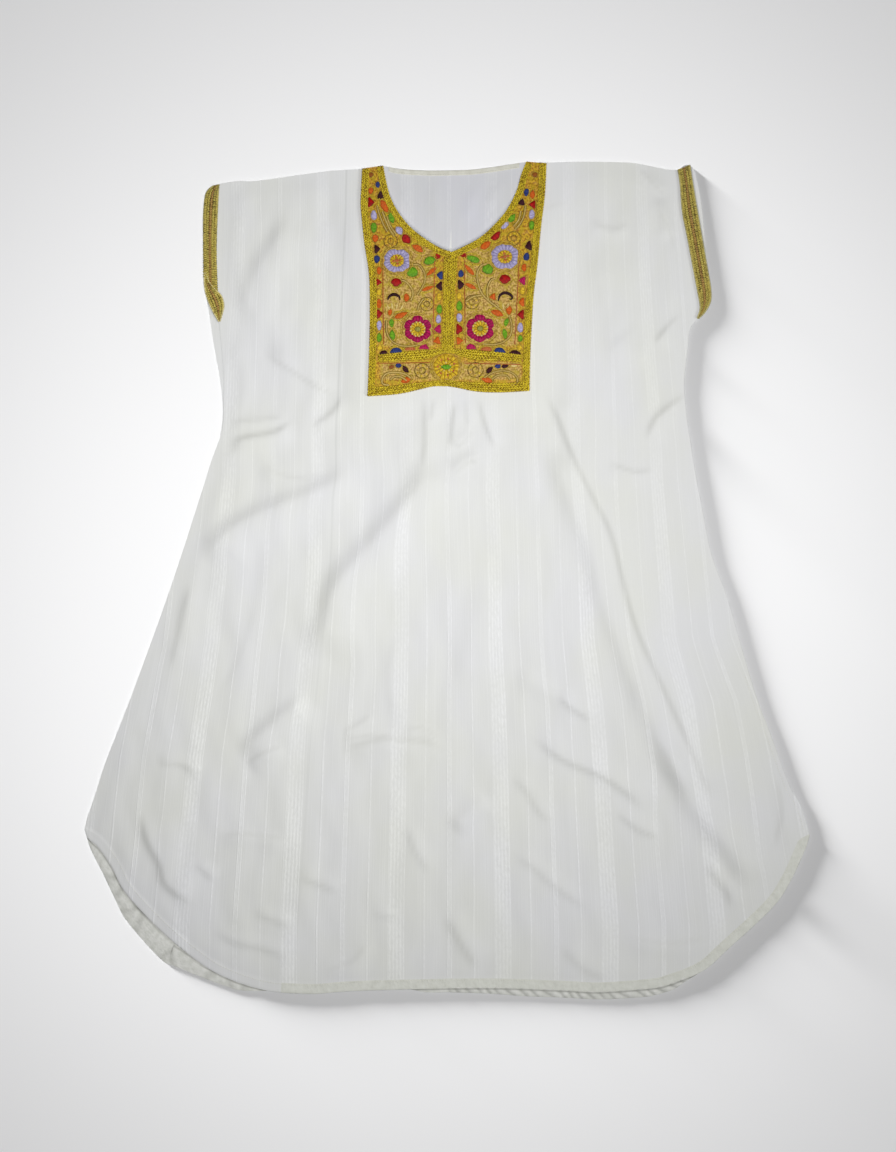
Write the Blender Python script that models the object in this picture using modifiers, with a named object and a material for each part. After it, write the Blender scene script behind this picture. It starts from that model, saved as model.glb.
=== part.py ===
"""A short kaftan laid flat on a table, its front up.

The back lies on the table and the front lies on the back. An embroidered yoke is
sewn round the neck, and braid is sewn along the two short sleeves.

Lengths are in millimetres and MM makes them metres. +X is the viewer's right, +Y runs
towards the neck, +Z is up, and the origin is under the middle of the garment.
"""
from collections import namedtuple

import bmesh
import bpy
import numpy as np

MM = 0.001

# Cloth walls and the gap that is left between two sewn pieces
BACK_WALL = 1.2
FRONT_WALL = 1.2
HEM_WALL = 1.8
YOKE_WALL = 1.4
SEAM_GAP = 0.3

# How the front lies: its loose lift off the back, and the stiffer lift of the yoke
PUFF = 2.5
YOKE_LIFT = 4.5
EDGE_FADE = 30.0
SLEEVE_FLAT = 22.0
SHOULDER_RAMP = 100.0
YOKE_RIM = 6.0
YOKE_FADE = 45.0

# Rows and columns of each half of the front and of the yoke
SIDE_ROWS = 26
UNDERARM_ROWS = 7
SLEEVE_ROWS = 10
FRONT_COLUMNS = 22
HEM_ROWS = (13.0, 16.0)
YOKE_ROWS = 10
YOKE_COLUMNS = 6

# Points along the edge lines of the back and of the pieces that are sewn on
BACK_HEM_COUNT = {"left": 64, "right": 110}
BACK_SIDE_COUNT = 28
BACK_UNDERARM_COUNT = 8
BACK_SLEEVE_COUNT = 14
BACK_SLIVER_COUNT = 20
BACK_SHOULDER_COUNT = 16
BACK_NECK_COUNT = 14
NECK_BAND_COUNT = 14
NECK_BORDER_COUNT = 13
PLACKET_COUNT = 7
CROSS_BAR_COUNT = 17
TRIM_COUNT = 12
TRIM_TURN_COUNT = 9
LONG_TRIM_COUNT = 18
PETAL_POINTS = 24

# Heights of the bodies that are sewn on
BRAID_HEIGHT = 1.2
TRIM_WALL = 1.4
TRIM_RIB = 0.6
TRIM_RIBS = 4
NECK_BAND_WALL = 0.8
NECK_BAND_WIDTH = 6.5
NECK_BORDER_WIDTH = 8.5
BORDER_WIDTH = 9.0
FLOWER_RADIUS = 17.5
ROSETTE_RADIUS = 16.0
PETAL_SWELL = 0.08
PLACKET_WALL = 0.9
PLACKET_RIB = 0.4
PLACKET_RIBS = 2
HEM_MARGIN = 1.0

# A worn strip: how high its two edges are, and how far in it is full height
WORN_EDGE = 0.6
WORN_SHARE = 0.2

# Points nearer than this, in metres, are one point
MERGE = 0.00001

# The hem of the back, where it shows beyond the front and puckers.
# Rows across the strip that shows: share of its width, share of the rise
PUCKER_ROWS = ((0.0, 0.4), (0.3, 1.0), (0.65, 0.8), (1.0, 0.0))
PUCKER_RISE = 2.0
PUCKER_SHOWN = 2.0
PUCKER_FLAT = 4.0
PUCKER_TUCK = 1.0
PUCKER_LOW = 0.4
LEFT_PUCKER_PITCH = 34.0
RIGHT_PUCKER_PITCH = 17.0
PUCKER_SLANT = 0.25
GATHER_CENTRE = np.array((0.0, 100.0))

# Outlines: points of the cut edges as they lie, in order along each edge
HEM_CENTRE = (3, -530)
NECK_V = (6, 426)

LEFT_SIDE = ((-471, -323), (-467, -307), (-458, -281), (-445, -240), (-422, -181), (-400, -123),
             (-358, -6), (-320, 111), (-308, 150), (-295, 185))
LEFT_UNDERARM = ((-295, 185), (-291, 202), (-290, 230), (-290, 261), (-292, 293), (-296, 335))
LEFT_SLEEVE = ((-296, 335), (-304, 350), (-312, 369), (-315, 385), (-315, 420), (-316, 443),
               (-316, 475), (-315, 499), (-311, 508))
LEFT_SHOULDER = ((-311, 508), (-296, 515), (-270, 519), (-248, 519), (-191, 527), (-152, 532),
                 (-110, 535), (-83, 539))
LEFT_NECKLINE = ((6, 426), (-10, 432), (-31, 445), (-49, 460), (-64, 479), (-74, 499),
                 (-79, 518), (-83, 539))
LEFT_HEM = ((-471, -323), (-467, -335), (-454, -346), (-436, -372), (-419, -404), (-382, -445),
            (-339, -483), (-296, -512), (-238, -532), (-178, -537), (-135, -534), (-84, -532),
            (3, -530))

RIGHT_SIDE = ((471, -332), (467, -314), (458, -289), (445, -266), (421, -201), (399, -142),
              (365, -25), (344, 33), (332, 92), (321, 150), (312, 209))
RIGHT_UNDERARM = ((312, 209), (308, 250), (310, 278), (313, 306), (316, 327), (325, 339))
RIGHT_SLEEVE = ((325, 339), (335, 349), (342, 363), (342, 380), (338, 404), (328, 461),
                (322, 496), (318, 521), (315, 540))
RIGHT_SHOULDER = ((315, 540), (308, 539), (300, 534), (285, 534), (251, 541), (231, 543),
                  (181, 544), (129, 543), (103, 544))
RIGHT_NECKLINE = ((6, 426), (17, 431), (40, 443), (60, 460), (77, 480), (90, 505), (96, 526),
                  (103, 544))
RIGHT_HEM = ((471, -332), (465, -350), (445, -393), (422, -426), (364, -480), (333, -508),
             (289, -527), (266, -533), (199, -538), (153, -535), (74, -531), (3, -530))

BACK_LEFT_SLIVER = ((-295, 185), (-292, 209), (-292, 232), (-296, 267), (-303, 306), (-308, 339),
                    (-313, 369), (-315, 385), (-315, 420), (-316, 443), (-316, 475), (-315, 499),
                    (-311, 508))
BACK_RIGHT_SLEEVE = ((325, 339), (335, 349), (342, 362), (342, 376), (337, 419), (335, 443),
                     (333, 466), (330, 493), (325, 519), (321, 534), (315, 540))
BACK_NECK = ((103, 544), (82, 541), (56, 537), (30, 534), (0, 533), (-29, 533), (-61, 535),
             (-83, 539))
BACK_LEFT_HEM = ((-471, -323), (-463, -349), (-446, -383), (-429, -419), (-415, -444),
                 (-373, -491), (-352, -502), (-291, -526), (-261, -533), (-191, -532),
                 (-135, -530), (-61, -530), (-27, -535), (3, -535))
BACK_RIGHT_HEM = ((3, -535), (61, -537), (100, -540), (153, -542), (199, -544), (243, -542),
                  (264, -540), (280, -536), (295, -531), (304, -525), (313, -519), (326, -511),
                  (345, -497), (364, -479), (422, -423), (445, -391), (458, -367), (471, -332))

YOKE_LEFT = ((-103, 239), (-101, 294), (-100, 346), (-101, 396), (-107, 437), (-111, 475),
             (-112, 491), (-110, 535))
YOKE_RIGHT = ((107, 246), (108, 294), (112, 367), (117, 408), (122, 460), (127, 501), (129, 542))
YOKE_FOOT_LEFT = ((-103, 239), (-64, 242), (-32, 249), (-17, 252), (1, 252))
YOKE_FOOT_RIGHT = ((107, 246), (70, 244), (40, 245), (14, 250), (1, 252))
YOKE_FOOT_CENTRE = (1, 252)
BORDER_FOOT_INNER = ((-94, 251), (-64, 253), (-32, 257), (-14, 259), (1, 260), (16, 258),
                     (40, 257), (70, 256), (98, 258))

PLACKET_LEFT = ((-4, 415), (-5, 364), (-7, 302))
PLACKET_RIGHT = ((14, 415), (10, 364), (9, 302))
CROSS_BAR_TOP = ((-90, 293), (-61, 296), (-29, 299), (3, 301), (36, 299), (69, 296), (97, 293))
CROSS_BAR_FOOT = ((-90, 284), (-61, 285), (-29, 287), (-9, 294), (0, 295), (9, 294), (36, 286),
                  (69, 285), (97, 283))

LEFT_TRIM_OUTER = ((-311, 508), (-315, 499), (-316, 475), (-316, 443), (-315, 401))
LEFT_TRIM_INNER = ((-296, 515), (-297, 505), (-299, 463), (-300, 421), (-301, 380))
LEFT_TURN_UPPER = ((-314, 399), (-313, 391), (-306, 381), (-296, 373), (-290, 362), (-291, 350),
                   (-295, 336))
LEFT_TURN_LOWER = ((-315, 398), (-315, 385), (-312, 369), (-304, 350), (-296, 336))
RIGHT_TRIM_OUTER = ((315, 540), (318, 521), (322, 496), (328, 461), (338, 404), (342, 380),
                    (342, 363), (335, 349), (326, 340))
RIGHT_TRIM_INNER = ((300, 534), (303, 515), (306, 479), (313, 443), (322, 395), (326, 374),
                    (329, 354), (325, 340))
NECK_BAND_EDGE = ((-76, 538), (-61, 535), (-29, 533), (0, 533), (30, 534), (56, 537), (82, 541),
                  (94, 543))

# Flowers: name, centre, radius, petals
Flower = namedtuple("Flower", "name centre radius petals")
FLOWERS = (
    Flower("flower_lilac_left", (-64, 415), FLOWER_RADIUS, 8),
    Flower("flower_lilac_right", (74, 420), FLOWER_RADIUS, 8),
    Flower("flower_magenta_left", (-38, 326), FLOWER_RADIUS, 6),
    Flower("flower_magenta_right", (43, 327), FLOWER_RADIUS, 6),
    Flower("rosette", (-1, 277), ROSETTE_RADIUS, 8),
)
# A flower's level rings: share of the radius, height
PETAL_RINGS = ((1.0, 0.0), (1.0, 0.7), (0.78, 1.2), (0.5, 0.9), (0.4, 1.4))

# Folds: crest height, reach of the steep side and of the gentle side, crest route.
# Each route runs so that the steep side is on its right hand.
Fold = namedtuple("Fold", "name height steep gentle route")
FOLDS = (
    Fold("long_left", 8.5, 21, 42, ((-22, 168), (-28, 128), (-42, 106), (-85, 56), (-142, -9),
                                    (-160, -48), (-190, -95))),
    Fold("long_left_top", 2.4, 14, 18, ((-30, 246), (-26, 222), (-25, 180), (-29, 140))),
    Fold("long_left_tail", 4.5, 14, 30, ((-188, -160), (-228, -204), (-271, -222))),
    Fold("left_waist", 5.6, 15, 30, ((-118, 142), (-150, 122), (-200, 101), (-252, 80),
                                     (-289, 55), (-316, 22))),
    Fold("left_notch", 3.0, 14, 16, ((-196, 205), (-222, 190), (-256, 183), (-292, 176))),
    Fold("left_flank", 3.0, 16, 28, ((-323, 2), (-340, -50), (-354, -107))),
    Fold("right_thin", 4.0, 14, 24, ((126, 252), (147, 216), (163, 174), (189, 119), (217, 64),
                                     (229, 18), (250, -60), (291, -151), (320, -216),
                                     (350, -289))),
    Fold("right_wide", 5.5, 24, 26, ((140, 178), (158, 120), (186, 47), (214, -48), (252, -143),
                                     (290, -224), (328, -290))),
    Fold("right_low_steep", 5.8, 16, 22, ((273, -190), (285, -218), (297, -244), (314, -276),
                                          (336, -308), (366, -343), (381, -369), (394, -392))),
    Fold("centre", 2.6, 18, 32, ((63, 8), (41, -64), (23, -146))),
    Fold("low_arch", 2.8, 15, 24, ((-3, -234), (-24, -217), (-83, -213), (-141, -227))),
    Fold("low_ridge", 4.0, 15, 15, ((57, -282), (6, -325))),
    Fold("low_right", 2.8, 14, 16, ((108, -196), (152, -229), (201, -250), (234, -272),
                                    (266, -298))),
    Fold("middle_drag", 2.5, 14, 16, ((180, -172), (85, -114))),
    Fold("left_corner", 3.0, 14, 28, ((-392, -296), (-386, -335), (-370, -366), (-362, -392),
                                      (-342, -408), (-322, -418))),
    Fold("middle_hem", 2.2, 14, 20, ((0, -430), (23, -470), (45, -505))),
    Fold("right_waist", 2.6, 14, 18, ((318, 242), (290, 222), (272, 205), (262, 178))),
    Fold("left_sleeve", 3.6, 15, 34, ((-196, 476), (-218, 440), (-243, 402), (-258, 362),
                                      (-268, 318))),
    Fold("right_sleeve", 3.0, 14, 18, ((276, 500), (290, 441))),
    Fold("gather_left", 2.4, 14, 16, ((14, 234), (6, 168))),
    Fold("gather_right", 2.4, 14, 18, ((46, 234), (66, 170))),
)
# A fold fades over this share of its length, and never over more than this length
FOLD_END, FOLD_FADE = 0.25, 45.0

CURVE_STEPS = 16

# Colour, roughness and metallic value of each finish
FINISHES = {
    "white_cloth": ((0.80, 0.80, 0.78), 0.75, 0.0),
    "inner_cloth": ((0.74, 0.75, 0.77), 0.80, 0.0),
    "neck_facing": ((0.78, 0.77, 0.73), 0.80, 0.0),
    "yoke_ground": ((0.55, 0.42, 0.20), 0.60, 0.1),
    "gold_couching": ((0.46, 0.36, 0.04), 0.45, 0.3),
    "gold_braid": ((0.33, 0.24, 0.06), 0.45, 0.4),
    "lilac_thread": ((0.38, 0.36, 0.62), 0.50, 0.0),
    "magenta_thread": ((0.42, 0.01, 0.10), 0.50, 0.0),
}


def at_lengths(line, places):
    """Points of a line of straight pieces at the given lengths along it."""
    lengths = np.linalg.norm(np.diff(line, axis=0), axis=1)
    run = np.concatenate([[0.0], np.cumsum(lengths)])
    return np.column_stack([np.interp(places, run, column) for column in line.T])


def smooth_line(knots, count, first=()):
    """A Catmull-Rom curve through the knots, read at count points.

    The points are the same length apart, after the lengths in first.
    """
    knots = np.array(knots, float)
    padded = np.vstack([2 * knots[0] - knots[1], knots, 2 * knots[-1] - knots[-2]])
    u = np.linspace(0, 1, CURVE_STEPS, endpoint=False)[:, None]
    spans = []
    for a, b, c, d in zip(padded, padded[1:], padded[2:], padded[3:]):
        bend = (2 * a - 5 * b + 4 * c - d) * u ** 2 + (3 * b - a - 3 * c + d) * u ** 3
        spans.append(0.5 * (2 * b + (c - a) * u + bend))
    fine = np.vstack(spans + [knots[-1:]])
    total = np.linalg.norm(np.diff(fine, axis=0), axis=1).sum()
    start = first[-1] if first else 0.0
    rest = np.linspace(start, total, count - len(first))
    places = np.concatenate([[0.0], first, rest[1:]]) if first else rest
    return at_lengths(fine, places)


def chain(*lines):
    """One line from several that follow each other and share their end points."""
    return np.vstack([lines[0]] + [line[1:] for line in lines[1:]])


def patch(outer, inner, foot, top):
    """A grid of points that fills four border lines, by Coons' blend of opposite borders.

    outer and inner run from foot to top, and foot and top run from outer to inner.
    """
    across = np.linspace(0, 1, len(foot))[None, :, None]
    shares = []
    for border in (outer, inner):
        run = np.cumsum(np.linalg.norm(np.diff(border, axis=0), axis=1))
        shares.append(np.concatenate([[0.0], run / run[-1]]))
    up = np.mean(shares, axis=0)[:, None, None]
    sides = (1 - across) * outer[:, None] + across * inner[:, None]
    ends = (1 - up) * foot[None] + up * top[None]
    low = (1 - across) * foot[0] + across * foot[-1]
    high = (1 - across) * top[0] + across * top[-1]
    return sides + ends - (1 - up) * low - up * high


def nearest(points, line):
    """Distance to a line, the side (+1 on its left hand) and the share of its length."""
    start = line[:-1]
    step = np.diff(line, axis=0)
    length = np.linalg.norm(step, axis=1)
    away = points[:, None] - start[None]
    share = np.clip((away * step).sum(2) / length ** 2, 0, 1)
    gap = np.linalg.norm(away - share[..., None] * step, axis=2)
    best = gap.argmin(1)
    rows = np.arange(len(points))
    offset = away[rows, best]
    side = np.sign(step[best, 0] * offset[:, 1] - step[best, 1] * offset[:, 0])
    begun = np.cumsum(length) - length
    along = (begun[best] + share[rows, best] * length[best]) / length.sum()
    return gap[rows, best], side, along


def inside(points, ring):
    """True where a point is inside a closed ring: a line to its right crosses it an odd time."""
    x, y = points[:, :1], points[:, 1:]
    ahead = np.roll(ring, -1, axis=0)
    passed = (ring[:, 1] > y) != (ahead[:, 1] > y)
    rise = np.where(ahead[:, 1] == ring[:, 1], 1.0, ahead[:, 1] - ring[:, 1])
    crossing = ring[:, 0] + (ahead[:, 0] - ring[:, 0]) * (y - ring[:, 1]) / rise
    return (passed & (x < crossing)).sum(1) % 2 == 1


def ease(low, high, value):
    """A smooth step from 0 at low to 1 at high."""
    share = np.clip((value - low) / (high - low), 0, 1)
    return share * share * (3 - 2 * share)


def folds(points):
    """Sum of the folds: each a ridge along its route, steep on one side, low at its ends."""
    total = np.zeros(len(points))
    for fold in FOLDS:
        route = smooth_line(fold.route, CURVE_STEPS)
        gap, side, along = nearest(points, route)
        reach = np.where(side > 0, fold.gentle, fold.steep)
        length = np.linalg.norm(np.diff(route, axis=0), axis=1).sum()
        fade = min(FOLD_END, FOLD_FADE / length)
        ends = ease(0, fade, along) * ease(0, fade, 1 - along)
        total += fold.height * np.exp(-(gap / reach) ** 2) * ends
    return total


class Outline:
    """The border lines of the front and of the yoke, as they lie."""

    centre = np.linspace(HEM_CENTRE, NECK_V, 2)
    side_count = SIDE_ROWS + len(HEM_ROWS)
    hem = {
        "left": smooth_line(LEFT_HEM, FRONT_COLUMNS + 1),
        "right": smooth_line(RIGHT_HEM, FRONT_COLUMNS + 1),
    }
    side = {
        "left": smooth_line(LEFT_SIDE, side_count, HEM_ROWS),
        "right": smooth_line(RIGHT_SIDE, side_count, HEM_ROWS),
    }
    underarm = {
        "left": smooth_line(LEFT_UNDERARM, UNDERARM_ROWS + 1),
        "right": smooth_line(RIGHT_UNDERARM, UNDERARM_ROWS + 1),
    }
    sleeve = {
        "left": smooth_line(LEFT_SLEEVE, SLEEVE_ROWS + 1),
        "right": smooth_line(RIGHT_SLEEVE, SLEEVE_ROWS + 1),
    }
    shoulder = {
        "left": smooth_line(LEFT_SHOULDER, FRONT_COLUMNS + 1),
        "right": smooth_line(RIGHT_SHOULDER, FRONT_COLUMNS + 1),
    }
    yoke_edge = {
        "left": smooth_line(YOKE_LEFT, 2 * YOKE_ROWS + 1),
        "right": smooth_line(YOKE_RIGHT, 2 * YOKE_ROWS + 1),
    }
    yoke_foot = {
        "left": smooth_line(YOKE_FOOT_LEFT, YOKE_COLUMNS + 1),
        "right": smooth_line(YOKE_FOOT_RIGHT, YOKE_COLUMNS + 1),
    }
    neckline = {"left": LEFT_NECKLINE, "right": RIGHT_NECKLINE}


def yoke_share(points):
    """1 on the yoke and its rim, falling to 0 where the loose cloth begins."""
    around = chain(Outline.yoke_edge["left"][::-1], Outline.yoke_foot["left"],
                   Outline.yoke_foot["right"][::-1], Outline.yoke_edge["right"])
    ring = np.vstack([around, around[-1:] + (0, YOKE_FADE), around[:1] + (0, YOKE_FADE)])
    outside = np.where(inside(points, ring), 0.0, nearest(points, around)[0])
    return 1 - ease(YOKE_RIM, YOKE_FADE, outside)


def lift(points):
    """Height of the front's inner side above its lowest place, for points (x, y)."""
    rise = PUFF + folds(points)
    for half in ("left", "right"):
        for border in (Outline.hem, Outline.side, Outline.underarm, Outline.shoulder):
            rise *= ease(0, EDGE_FADE, nearest(points, border[half])[0])
        sleeve_gap = nearest(points, Outline.sleeve[half])[0]
        rise *= ease(SLEEVE_FLAT, SLEEVE_FLAT + EDGE_FADE, sleeve_gap)
    shoulders = np.minimum(nearest(points, Outline.shoulder["left"])[0],
                           nearest(points, Outline.shoulder["right"])[0])
    stiff = YOKE_LIFT * ease(0, SHOULDER_RAMP, shoulders)
    share = yoke_share(points)
    return share * stiff + (1 - share) * rise


FRONT_BASE = BACK_WALL + SEAM_GAP
YOKE_BASE = FRONT_BASE + FRONT_WALL + SEAM_GAP
BRAID_BASE = YOKE_BASE + YOKE_WALL + SEAM_GAP


def on_front(points, base):
    """Points (x, y) laid at a height above the front's lift, as (x, y, z)."""
    points = np.atleast_2d(points)
    return np.column_stack([points, base + lift(points)])


def finish(name):
    """The material of one finish."""
    colour, roughness, metallic = FINISHES[name]
    material = bpy.data.materials.get(name) or bpy.data.materials.new(name)
    material.use_nodes = True
    shader = material.node_tree.nodes["Principled BSDF"]
    shader.inputs["Base Color"].default_value = (*colour, 1.0)
    shader.inputs["Roughness"].default_value = roughness
    shader.inputs["Metallic"].default_value = metallic
    material.diffuse_color = (*colour, 1.0)
    return material


def add_object(name, mesh, material):
    """Put a mesh into the kaftan's collection as one named piece."""
    mesh.materials.append(finish(material))
    piece = bpy.data.objects.new(name, mesh)
    bpy.data.collections["kaftan"].objects.link(piece)
    return piece


def grid_half(body, points, turned):
    """Add a grid of points to a bmesh, from a flat grid primitive moved onto them."""
    rows, columns = points.shape[:2]
    made = bmesh.ops.create_grid(body, x_segments=columns - 1, y_segments=rows - 1, size=1.0)
    places = points.reshape(-1, 3) * MM
    for vertex, place in zip(made["verts"], places):
        vertex.co = place
    if turned:
        faces = list({face for vertex in made["verts"] for face in vertex.link_faces})
        bmesh.ops.reverse_faces(body, faces=sorted(faces, key=lambda face: face.index))


def cloth_sheet(name, halves, wall, material):
    """An open cloth surface from two halves that meet on the centre line, with a wall."""
    body = bmesh.new()
    for half, points in halves.items():
        grid_half(body, points, turned=half == "right")
    bmesh.ops.remove_doubles(body, verts=body.verts, dist=MERGE)
    mesh = bpy.data.meshes.new(name)
    body.to_mesh(mesh)
    body.free()
    piece = add_object(name, mesh, material)
    shell = piece.modifiers.new("wall", "SOLIDIFY")
    shell.thickness = wall * MM
    shell.offset = 1.0
    return piece


def loft(name, rings, material):
    """A closed body through rings of points, its two ends filled."""
    body = bmesh.new()
    loops = [[body.verts.new(place) for place in ring * MM] for ring in np.array(rings)]
    for low, high in zip(loops, loops[1:]):
        for k in range(len(low)):
            after = (k + 1) % len(low)
            body.faces.new((low[k], low[after], high[after], high[k]))
    body.faces.new(loops[0][::-1])
    body.faces.new(loops[-1])
    bmesh.ops.recalc_face_normals(body, faces=body.faces)
    mesh = bpy.data.meshes.new(name)
    body.to_mesh(mesh)
    body.free()
    return add_object(name, mesh, material)


def strip(name, edges, base, profile, material):
    """A sewn-on strip between two edge lines, with a profile of (share across, height)."""
    first, second = edges
    share = np.array([row[0] for row in profile])
    height = np.array([row[1] for row in profile])
    rings = []
    for one, other in zip(base(first), base(second)):
        over = one + share[:, None] * (other - one)
        over[:, 2] += height
        rings.append(np.vstack([one, over, other]))
    return loft(name, rings, material)


def rounded(height):
    """Profile of a flat strip whose two edges are worn round."""
    low = WORN_EDGE * height
    return ((0.0, low), (WORN_SHARE, height), (1 - WORN_SHARE, height), (1.0, low))


def ribbed(wall, rib, count):
    """Profile of a braid: cords side by side, each a crest between two valleys."""
    steps = range(2 * count + 1)
    return tuple((k / (2 * count), wall + rib * (k % 2)) for k in steps)


def move_aside(line, distance):
    """A line moved to its left hand by a distance, with mitred corners."""
    step = np.diff(line, axis=0)
    step /= np.linalg.norm(step, axis=1)[:, None]
    normal = np.column_stack([-step[:, 1], step[:, 0]])
    before = np.vstack([normal[:1], normal])
    after = np.vstack([normal, normal[-1:]])
    mitre = (before + after) / (1 + (before * after).sum(1))[:, None]
    return line + distance * mitre


def front():
    """The front: one cloth with two short sleeves, its hem turned up and thicker."""
    halves = {}
    for half in ("left", "right"):
        outer = chain(Outline.side[half], Outline.underarm[half], Outline.sleeve[half])
        centre_rows = Outline.side_count + UNDERARM_ROWS
        centre = smooth_line(Outline.centre, centre_rows, HEM_ROWS)
        neckline = smooth_line(Outline.neckline[half], SLEEVE_ROWS + 1)
        inner = chain(centre, neckline)
        flat = patch(outer, inner, Outline.hem[half], Outline.shoulder[half])
        laid = on_front(flat.reshape(-1, 2), FRONT_BASE)
        halves[half] = laid.reshape(*flat.shape[:2], 3)
    piece = cloth_sheet("front", halves, HEM_WALL, "white_cloth")
    hem = piece.vertex_groups.new(name="hem")
    hem_line = chain(Outline.hem["left"], Outline.hem["right"][::-1])
    places = np.array([vertex.co[:2] for vertex in piece.data.vertices]) / MM
    turned_up = nearest(places, hem_line)[0] < HEM_ROWS[0] + HEM_MARGIN
    hem.add([int(k) for k in np.flatnonzero(turned_up)], 1.0, "REPLACE")
    shell = piece.modifiers["wall"]
    shell.vertex_group = hem.name
    shell.thickness_vertex_group = FRONT_WALL / HEM_WALL


def back_outline():
    """The cut edge of the back, anticlockwise from its left hem corner, and the hem's count."""
    left_hem = smooth_line(BACK_LEFT_HEM, BACK_HEM_COUNT["left"])
    right_hem = smooth_line(BACK_RIGHT_HEM, BACK_HEM_COUNT["right"])
    hem = chain(left_hem, right_hem)
    right = chain(smooth_line(RIGHT_SIDE, BACK_SIDE_COUNT),
                  smooth_line(RIGHT_UNDERARM, BACK_UNDERARM_COUNT),
                  smooth_line(BACK_RIGHT_SLEEVE, BACK_SLEEVE_COUNT),
                  smooth_line(RIGHT_SHOULDER, BACK_SHOULDER_COUNT))
    left = chain(smooth_line(LEFT_SHOULDER[::-1], BACK_SHOULDER_COUNT),
                 smooth_line(BACK_LEFT_SLIVER[::-1], BACK_SLIVER_COUNT),
                 smooth_line(LEFT_SIDE[::-1], BACK_SIDE_COUNT))
    neck = smooth_line(BACK_NECK, BACK_NECK_COUNT)
    return chain(hem, right, neck, left)[:-1], len(hem)


def hem_rows(hem):
    """Rows of points and heights for the back's hem, puckered where it shows."""
    front_hem = chain(Outline.hem["left"], Outline.hem["right"][::-1])
    gap, side, _ = nearest(hem, front_hem)
    shown = np.maximum(np.where(side < 0, gap, 0.0) - PUCKER_TUCK, PUCKER_SHOWN)
    strength = PUCKER_RISE * ease(PUCKER_SHOWN, 2 * PUCKER_SHOWN, shown)
    along = np.concatenate([[0.0], np.cumsum(np.linalg.norm(np.diff(hem, axis=0), axis=1))])
    pitch = np.where(hem[:, 0] < BACK_LEFT_HEM[-3][0], LEFT_PUCKER_PITCH, RIGHT_PUCKER_PITCH)
    inward = GATHER_CENTRE - hem
    inward /= np.linalg.norm(inward, axis=1)[:, None]
    rows = []
    for share, rise in PUCKER_ROWS:
        depth = share * shown
        wave = 0.5 + 0.5 * np.sin(2 * np.pi * along / pitch + PUCKER_SLANT * depth)
        heights = BACK_WALL + strength * rise * (PUCKER_LOW + (1 - PUCKER_LOW) * wave)
        rows.append((hem + depth[:, None] * inward, heights))
    flat = hem + (shown + PUCKER_FLAT)[:, None] * inward
    rows.append((flat, np.full(len(hem), BACK_WALL)))
    return rows


def back():
    """The back: flat underneath, and puckered along the hem where it shows."""
    outline, hem_count = back_outline()
    edge, *inner_rows = hem_rows(outline[:hem_count])
    top = np.full(len(outline), BACK_WALL)
    top[:hem_count] = edge[1]
    body = bmesh.new()

    def add_points(points, heights):
        places = np.column_stack([points, heights]) * MM
        return [body.verts.new(place) for place in places]

    under = add_points(outline, np.zeros(len(outline)))
    over = add_points(outline, top)
    rows = [over[:hem_count]] + [add_points(*row) for row in inner_rows]
    for k in range(len(outline)):
        after = (k + 1) % len(outline)
        body.faces.new((under[k], under[after], over[after], over[k]))
    for low, high in zip(rows, rows[1:]):
        for k in range(hem_count - 1):
            body.faces.new((low[k], low[k + 1], high[k + 1], high[k]))
    right_end = [row[-1] for row in rows[-2:0:-1]]
    left_end = [row[0] for row in rows[1:-1]]
    body.faces.new(rows[-1] + right_end + over[hem_count - 1:] + over[:1] + left_end)
    body.faces.new(under[::-1])
    bmesh.ops.recalc_face_normals(body, faces=body.faces)
    mesh = bpy.data.meshes.new("back")
    body.to_mesh(mesh)
    body.free()
    add_object("back", mesh, "inner_cloth")


def neck_band():
    """The narrow facing that is sewn along the inside of the back's neck."""
    edge = smooth_line(NECK_BAND_EDGE, NECK_BAND_COUNT) - (0.0, SEAM_GAP)
    inner = edge - (0.0, NECK_BAND_WIDTH)

    def flat(points):
        return np.column_stack([points, np.full(len(points), BACK_WALL + SEAM_GAP)])

    strip("back_neck_band", (inner, edge), flat, rounded(NECK_BAND_WALL), "neck_facing")


def yoke():
    """The embroidered yoke, which lies on the front round the neck."""
    halves = {}
    for half in ("left", "right"):
        centre = smooth_line((YOKE_FOOT_CENTRE, NECK_V), YOKE_ROWS + 1)
        neckline = smooth_line(Outline.neckline[half], YOKE_ROWS + 1)
        corner = (Outline.yoke_edge[half][-1], neckline[-1])
        top = smooth_line(corner, YOKE_COLUMNS + 1)
        flat = patch(Outline.yoke_edge[half], chain(centre, neckline), Outline.yoke_foot[half],
                     top)
        laid = on_front(flat.reshape(-1, 2), YOKE_BASE)
        halves[half] = laid.reshape(*flat.shape[:2], 3)
    cloth_sheet("yoke", halves, YOKE_WALL, "yoke_ground")


def on_yoke(points):
    """Points (x, y) laid just above the yoke."""
    return on_front(points, BRAID_BASE)


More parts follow.
